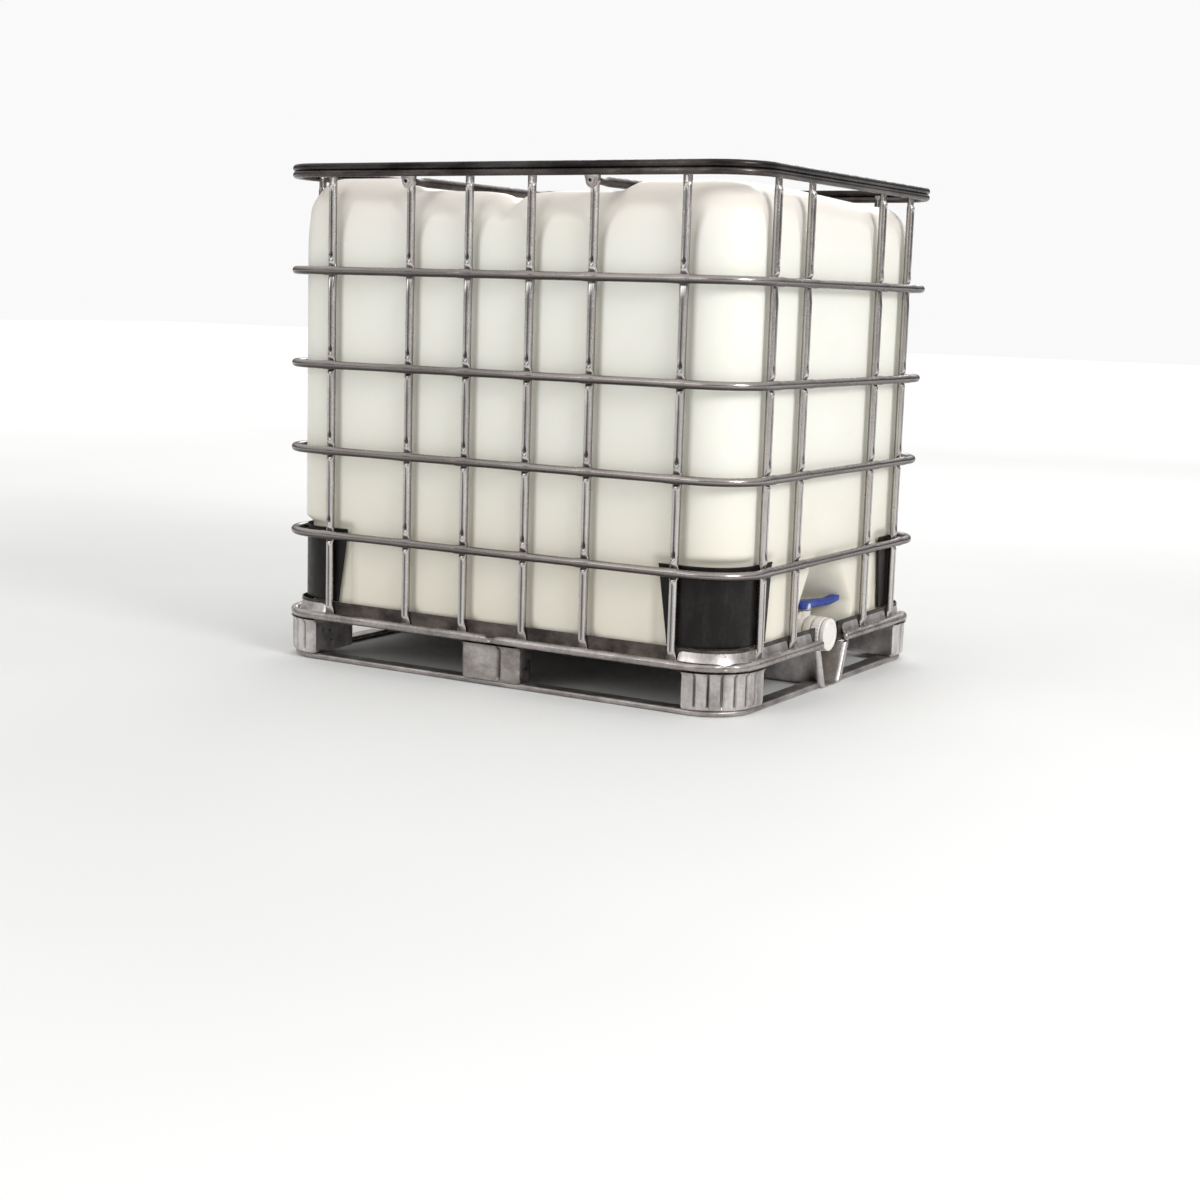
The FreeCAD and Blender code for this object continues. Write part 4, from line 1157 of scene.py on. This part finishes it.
# ---------------------------------------------------------------- valve
def make_union_nut():
    """A ring nut with pull lugs round its rim."""
    low, high = node_box("outlet_union_nut")
    outer, back, face = outer_radius(low, high), low[0], high[0]

    def lugs(angles, radii, height):
        bumps = np.maximum(0, np.cos(angles * 8)) ** 6
        return np.where(radii > outer - 6, radii - 3.0 + 3.0 * bumps, radii)

    profile = [(30.2, back), (outer - 4, back), (outer - 1, back + 1.5), (outer, back + 4),
               (outer, face - 8), (outer - 1, face - 5), (outer - 7, face - 3), (outer - 8, face),
               (29.0, face), (29.0, face - 3), (30.2, back + 2)]
    obj = outlet_lathe("union_nut_ring", profile, WHITE, 128, lugs, close=True)
    keep(sharpen(obj, 35), ["outlet_union_nut"])


def make_valve_body():
    """The valve body: a clamped flange, a round chamber, a ribbed collar and a threaded spigot."""
    low, high = node_box("valve_body")
    start, end, top = low[0], high[0], high[2]

    def ribs(angles, radii, height):
        collar = BALL_X + 16 < height < BALL_X + 30
        return radii - (0.9 * (np.cos(angles * 30) > 0.2) if collar else 0.0)

    chamber = [(28.0, -33), (33.0, -30), (36.2, -25), (37.0, -18), (37.0, 8), (36.0, 11),
               (33.5, 12.2), (33.5, 14), (37.4, 15), (38.4, 16.5), (38.4, 29.5), (37.4, 31),
               (30.0, 31.6)]
    for turn in range(4):
        at = 34 + turn * 6.0
        chamber += [(28.8, at), (28.8, at + 2.4), (30.0, at + 3.2), (30.0, at + 4.6)]
    profile = [(20.0, start), (33.0, start), (34.0, start + 1), (34.0, start + 5),
               (33.0, start + 6), (28.0, start + 6.4)]
    profile += [(radius, BALL_X + past) for radius, past in chamber]
    profile += [(28.8, end - 1.4), (28.0, end), (20.8, end), (20.0, end - 0.8)]
    barrel = outlet_lathe("barrel", profile, WHITE, 90, ribs, close=True)
    profile = [(7.2, top - 30), (20.0, VALVE_Z + 26), (17.5, top - 12), (16.0, top - 9),
               (16.0, top - 1), (15.2, top), (8.0, top), (7.2, top - 0.8)]
    boss = lathe("boss", profile, WHITE, origin=(BALL_X, 0, 0), segments=48)
    parts = [sharpen(barrel, 35), sharpen(boss, 35)] + [web(side) for side in (-1, 1)]
    keep(merge("valve_body_casing", parts), ["valve_body"])


def web(side):
    """A stiffening web beside the stem boss."""
    outline = [(0, 0), (18, 0), (14, 9), (4, 16), (0, 16)]
    stand = Matrix.Translation((BALL_X, side * 14.5, VALVE_Z + 31))
    turn = Matrix.Rotation(math.pi / 2, 4, "X") @ Matrix.Rotation(side * math.pi / 2, 4, "Y")
    return plate("web", outline, 3.5, WHITE, stand @ turn, 0.8)


def make_outlet_cap():
    """The white screw cap: a ribbed skirt, a step and a slightly dished face."""
    low, high = node_box("outlet_cap")
    outer, back, face = outer_radius(low, high), low[0], high[0]
    segments = 168

    def grips(angles, radii, height):
        skirt = back + 1 < height < face - 13
        return radii - (1.1 * (0.5 - 0.5 * np.cos(angles * 28)) if skirt else 0.0)

    edge = [(0.0, -14.5), (1.0, -13.2), (3.2, -12.6), (3.4, -10.8), (1.6, -9.8), (1.4, -4.5),
            (2.0, -1.6), (4.0, -0.3), (7.0, 0.0), (11, -0.2), (12, -1.2)]
    profile = [(30.6, back), (outer - 1, back), (outer, back + 1.2), (outer, back + 8)]
    profile += [(outer - inward, face + past) for inward, past in edge]
    profile += [(10.0, face - 1.2), (0.05, face - 1.0)]
    lining = [(0.05, face - 5.2), (30.4, face - 5.2), (30.6, back)]
    shell = merge("outlet_cap_shell",
                  [outlet_lathe("cap_outside", profile, CAP_WHITE, segments, grips),
                   outlet_lathe("cap_inside", lining, CAP_WHITE, segments)])
    # Painted shade in the groove of the step on the cap's face.
    in_step = [outer - 3.5 <= radius <= outer - 3.1 for radius, _ in profile]
    paint(shell, "grime_and_painted_shade", np.repeat([0.75 * step_shaded for step_shaded in in_step], segments))
    keep(sharpen(shell, 35), ["outlet_cap"], "outlet_cap")


def squircle(value, power):
    """A sine or cosine with its curve squared up."""
    return np.sign(value) * np.abs(value) ** power


def make_lever():
    """The blue lever: a pale hub and a deep cranked arm that ends in a raised round tip."""
    low, high = node_box("valve_lever")
    base = low[2]
    profile = [(7.1, base), (14.6, base), (16.0, base + 1.5), (16.0, base + 10),
               (14.0, base + 13.5), (8.0, base + 14), (7.1, base + 14)]
    hub = lathe("hub", profile, HUB_BLUE, origin=(BALL_X, 0, 0), segments=48, close=True)
    rows = []
    angles = full_turn(36)
    for y in stations(low[1], high[1], 4.0, 1.5, [low[1], high[1]], 14.0):
        along, narrow, thin, raised, hollow = (
            float(smooth(start, end, y))
            for start, end in ((0, 112), (4, 60), (30, 110), (74, 112), (18, 34)))
        past = 1 - min(1.0, min(y - low[1], high[1] - y) / 12.0)
        end_round = math.sqrt(max(0.0, 1 - past ** 2))
        half = (14.0 - 3.0 * narrow) * max(0.16, end_round)
        across = squircle(np.cos(angles), 0.35) * half
        up = squircle(np.sin(angles), 0.4) * (9.5 - 2.0 * thin) * max(0.5, end_round)
        dish = 2.2 * (1 - np.abs(across / half) ** 6) * (np.sin(angles) > 0) * hollow
        middle = base + 9.8 + 1.0 * along + 6.5 * raised
        rows.append(np.stack([BALL_X + 26.0 * along ** 1.4 + across, np.full(len(angles), y),
                              middle + up - dish], axis=1))
    arm = grid_object("arm", np.array(rows), BLUE, close_v=True, cap_start=True, cap_end=True)
    obj = merge("lever_handle", [arm, sharpen(hub, 40)])
    keep(sharpen(obj, 50), ["valve_lever"], "valve_rotor")
    seat = node_box("lever_screw")[1][2] - 2.1
    head = [(0.05, 1.0), (2.6, 1.0), (2.7, 3.2), (4.5, 3.6), (6.0, 2.6), (6.4, 0.6), (6.4, 0.0),
            (3.0, -0.2), (3.0, -3.8), (0.05, -3.8)]
    obj = lathe("lever_screw_head", head, BOLT, origin=(BALL_X, 0, seat),
                segments=SCREW_SEGMENTS, radial=hex_socket)
    keep(sharpen(obj, 40), ["lever_screw"], "valve_rotor")


# ---------------------------------------------------------------- filler cap
def make_filler_cap():
    """The wide screw cap with grip lugs and a raised ring."""
    low, high = node_box("filler_cap")
    outer, top = (high[0] - low[0]) / 2, high[2]

    def grips(angles, radii, height):
        bumps = np.maximum(0, np.cos(angles * 12)) ** 8
        skirt = (radii > outer - 5) & (height < top - 1.5)
        return np.where(skirt, radii - 3.6 + 3.6 * bumps, radii)

    profile = [(75.6, low[2]), (outer - 1, low[2]), (outer, low[2] + 1.5), (outer, top - 4.5),
               (outer - 1.5, top - 2.0), (outer - 5.0, top - 0.6), (outer - 9.0, top - 0.4),
               (outer - 11, top - 2.2), (44.0, top - 2.2), (41.0, top - 0.4), (36.0, top),
               (30.0, top - 0.3), (22.0, top - 1.6), (12.1, top - 1.6), (12.0, top - 6.5),
               (75.4, top - 6.7)]
    obj = lathe("filler_cap_shell", profile, LID, segments=192, radial=grips, close=True)
    keep(sharpen(obj, 35), ["filler_cap"], "filler_cap")


def make_vent_plug():
    """The vent plug in the filler cap, with a six-sided recess."""
    low, high = node_box("vent_plug")
    top, bottom = high[2], low[2] + 0.3

    def facets(angles, radii, height):
        sided = radii * np.minimum(hexagon(angles), 1.12)
        return np.where((radii > 8) & (radii < 12), sided, radii)

    profile = [(0.05, top - 0.6), (8.0, top - 0.6), (10.2, top), (11.4, top - 0.6),
               (15.6, top - 1.4), (16.8, top - 2.4), (16.8, top - 4.0), (11.9, top - 5.5),
               (11.9, bottom), (0.05, bottom)]
    obj = lathe("vent_plug_body", profile, VENT, segments=60, radial=facets)
    keep(sharpen(obj, 35), ["vent_plug"], "filler_cap")


# ---------------------------------------------------------------- scene
def dress_cad_nodes():
    """Materials for the inner CAD pieces that stay as they are."""
    inner = {RUBBER: ("filler_gasket", "outlet_cap_gasket", "stem_seal"),
             BALL: ("valve_ball", "valve_stem"), SEAT: ("valve_seats",)}
    for material, nodes in inner.items():
        for node in nodes:
            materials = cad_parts[node].data.materials
            materials.clear()
            materials.append(material)


def make_camera():
    """The camera: bearing, height, roll, distance and lens of the reference view."""
    azimuth, elevation, roll = math.radians(30.67), math.radians(8.85), math.radians(1.72)
    distance, aim = 4.52, Vector((0, 0, 0.58))
    back = Vector((math.sin(azimuth) * math.cos(elevation),
                   -math.cos(azimuth) * math.cos(elevation), math.sin(elevation)))
    right = Vector((math.cos(azimuth), math.sin(azimuth), 0))
    up = back.cross(right)
    rolled_right = right * math.cos(roll) + up * math.sin(roll)
    rolled_up = up * math.cos(roll) - right * math.sin(roll)
    place = aim + back * distance - rolled_right * 0.0247 - rolled_up * 0.4447
    data = bpy.data.cameras.new("camera")
    data.sensor_width = 36.0
    data.lens = 58.15
    camera = add_object("camera", data)
    turn = Matrix((rolled_right, rolled_up, back)).transposed().to_4x4()
    camera.matrix_world = Matrix.Translation(place) @ turn
    bpy.context.scene.camera = camera


def area_light(name, place, aim, size, power, color=(1, 1, 1)):
    """A soft rectangular light that points at a place."""
    data = bpy.data.lights.new(name, "AREA")
    data.shape = "RECTANGLE"
    data.size, data.size_y = size
    data.energy = power
    data.color = color
    light = add_object(name, data)
    light.location = place
    light.rotation_euler = (Vector(aim) - Vector(place)).to_track_quat("-Z", "Y").to_euler()


def make_world():
    """A pale surround; what the metal mirrors is bright above and darker near the horizon."""
    world = bpy.data.worlds.new("studio")
    world.use_nodes = True
    tree = world.node_tree
    rise = height_of(tree, tree.nodes.new("ShaderNodeTexCoord").outputs["Generated"])
    sky = ramp(tree, rise, (0.0, (0.36, 0.36, 0.37)), (0.12, (0.42, 0.42, 0.43)),
               (0.45, (0.80, 0.80, 0.80)), (1.0, (0.92, 0.92, 0.92)))
    mirrored = ramp(tree, rise, (0.0, (0.10, 0.095, 0.095)), (0.16, (0.20, 0.195, 0.195)),
                    (0.42, (0.95, 0.95, 0.95)), (1.0, (1.1, 1.1, 1.1)))
    paths = tree.nodes.new("ShaderNodeLightPath").outputs
    around = mix(tree, paths["Is Glossy Ray"], sky, mirrored)
    seen = mix(tree, paths["Is Camera Ray"], around, (0.95, 0.95, 0.95))
    background = tree.nodes["Background"]
    feed(tree, background.inputs["Color"], seen)
    background.inputs["Strength"].default_value = 1.0
    bpy.context.scene.world = world


def make_room():
    """A pale floor and three large lights."""
    material, tree, shader, coords = new_material("floor", (0.80, 0.80, 0.79), 0.75)
    place = coords.outputs["Object"]
    tint = ramp(tree, noise(tree, place, 0.8, 2.0),
                (0.3, (0.79, 0.79, 0.78)), (0.7, (0.82, 0.82, 0.81)))
    feed(tree, shader.inputs["Base Color"], tint)
    away = add_node(tree, "VectorMath", {0: place}, operation="LENGTH").outputs["Value"]
    shader.inputs["Emission Color"].default_value = (1.0, 1.0, 1.0, 1.0)
    # Painted light: the floor glows more with distance from the middle, so that it fades into the
    # pale backdrop.
    glow = grey_ramp(tree, away, 2.2, 9.0, 0.0, 0.38)
    feed(tree, shader.inputs["Emission Strength"], glow)
    size = 30000.0
    corners = [(-size, -size, 0), (size, -size, 0), (size, size, 0), (-size, size, 0)]
    floor = make_object("floor", corners, [(0, 1, 2, 3)], material)
    make_world()
    area_light("key", (5.3, -2.0, 3.2), (0.2, -0.1, 0.6), (1.8, 1.8), 168.0, (0.99, 0.99, 1.0))
    area_light("fill", (-1.8, -5.4, 2.4), (0, 0, 0.6), (2.4, 2.4), 33.0, (1.0, 0.99, 0.97))
    area_light("back", (-1.5, 4.8, 3.4), (0, 0, 0.7), (3.5, 2.0), 70.0)
    bpy.context.scene.view_settings.view_transform = "Standard"


def main():
    """Build every piece."""
    make_camera()
    make_room()
    for number, z in enumerate(RING_Z, 1):
        make_ring(number, z)
    make_top_frame()
    make_posts()
    make_bars()
    make_rim()
    make_tray()
    make_feet()
    make_support()
    make_skid()
    for number, signs in enumerate(CORNERS, 1):
        make_guard(number, *signs)
    make_bottle()
    make_union_nut()
    make_valve_body()
    make_outlet_cap()
    make_lever()
    make_filler_cap()
    make_vent_plug()
    dress_cad_nodes()


main()
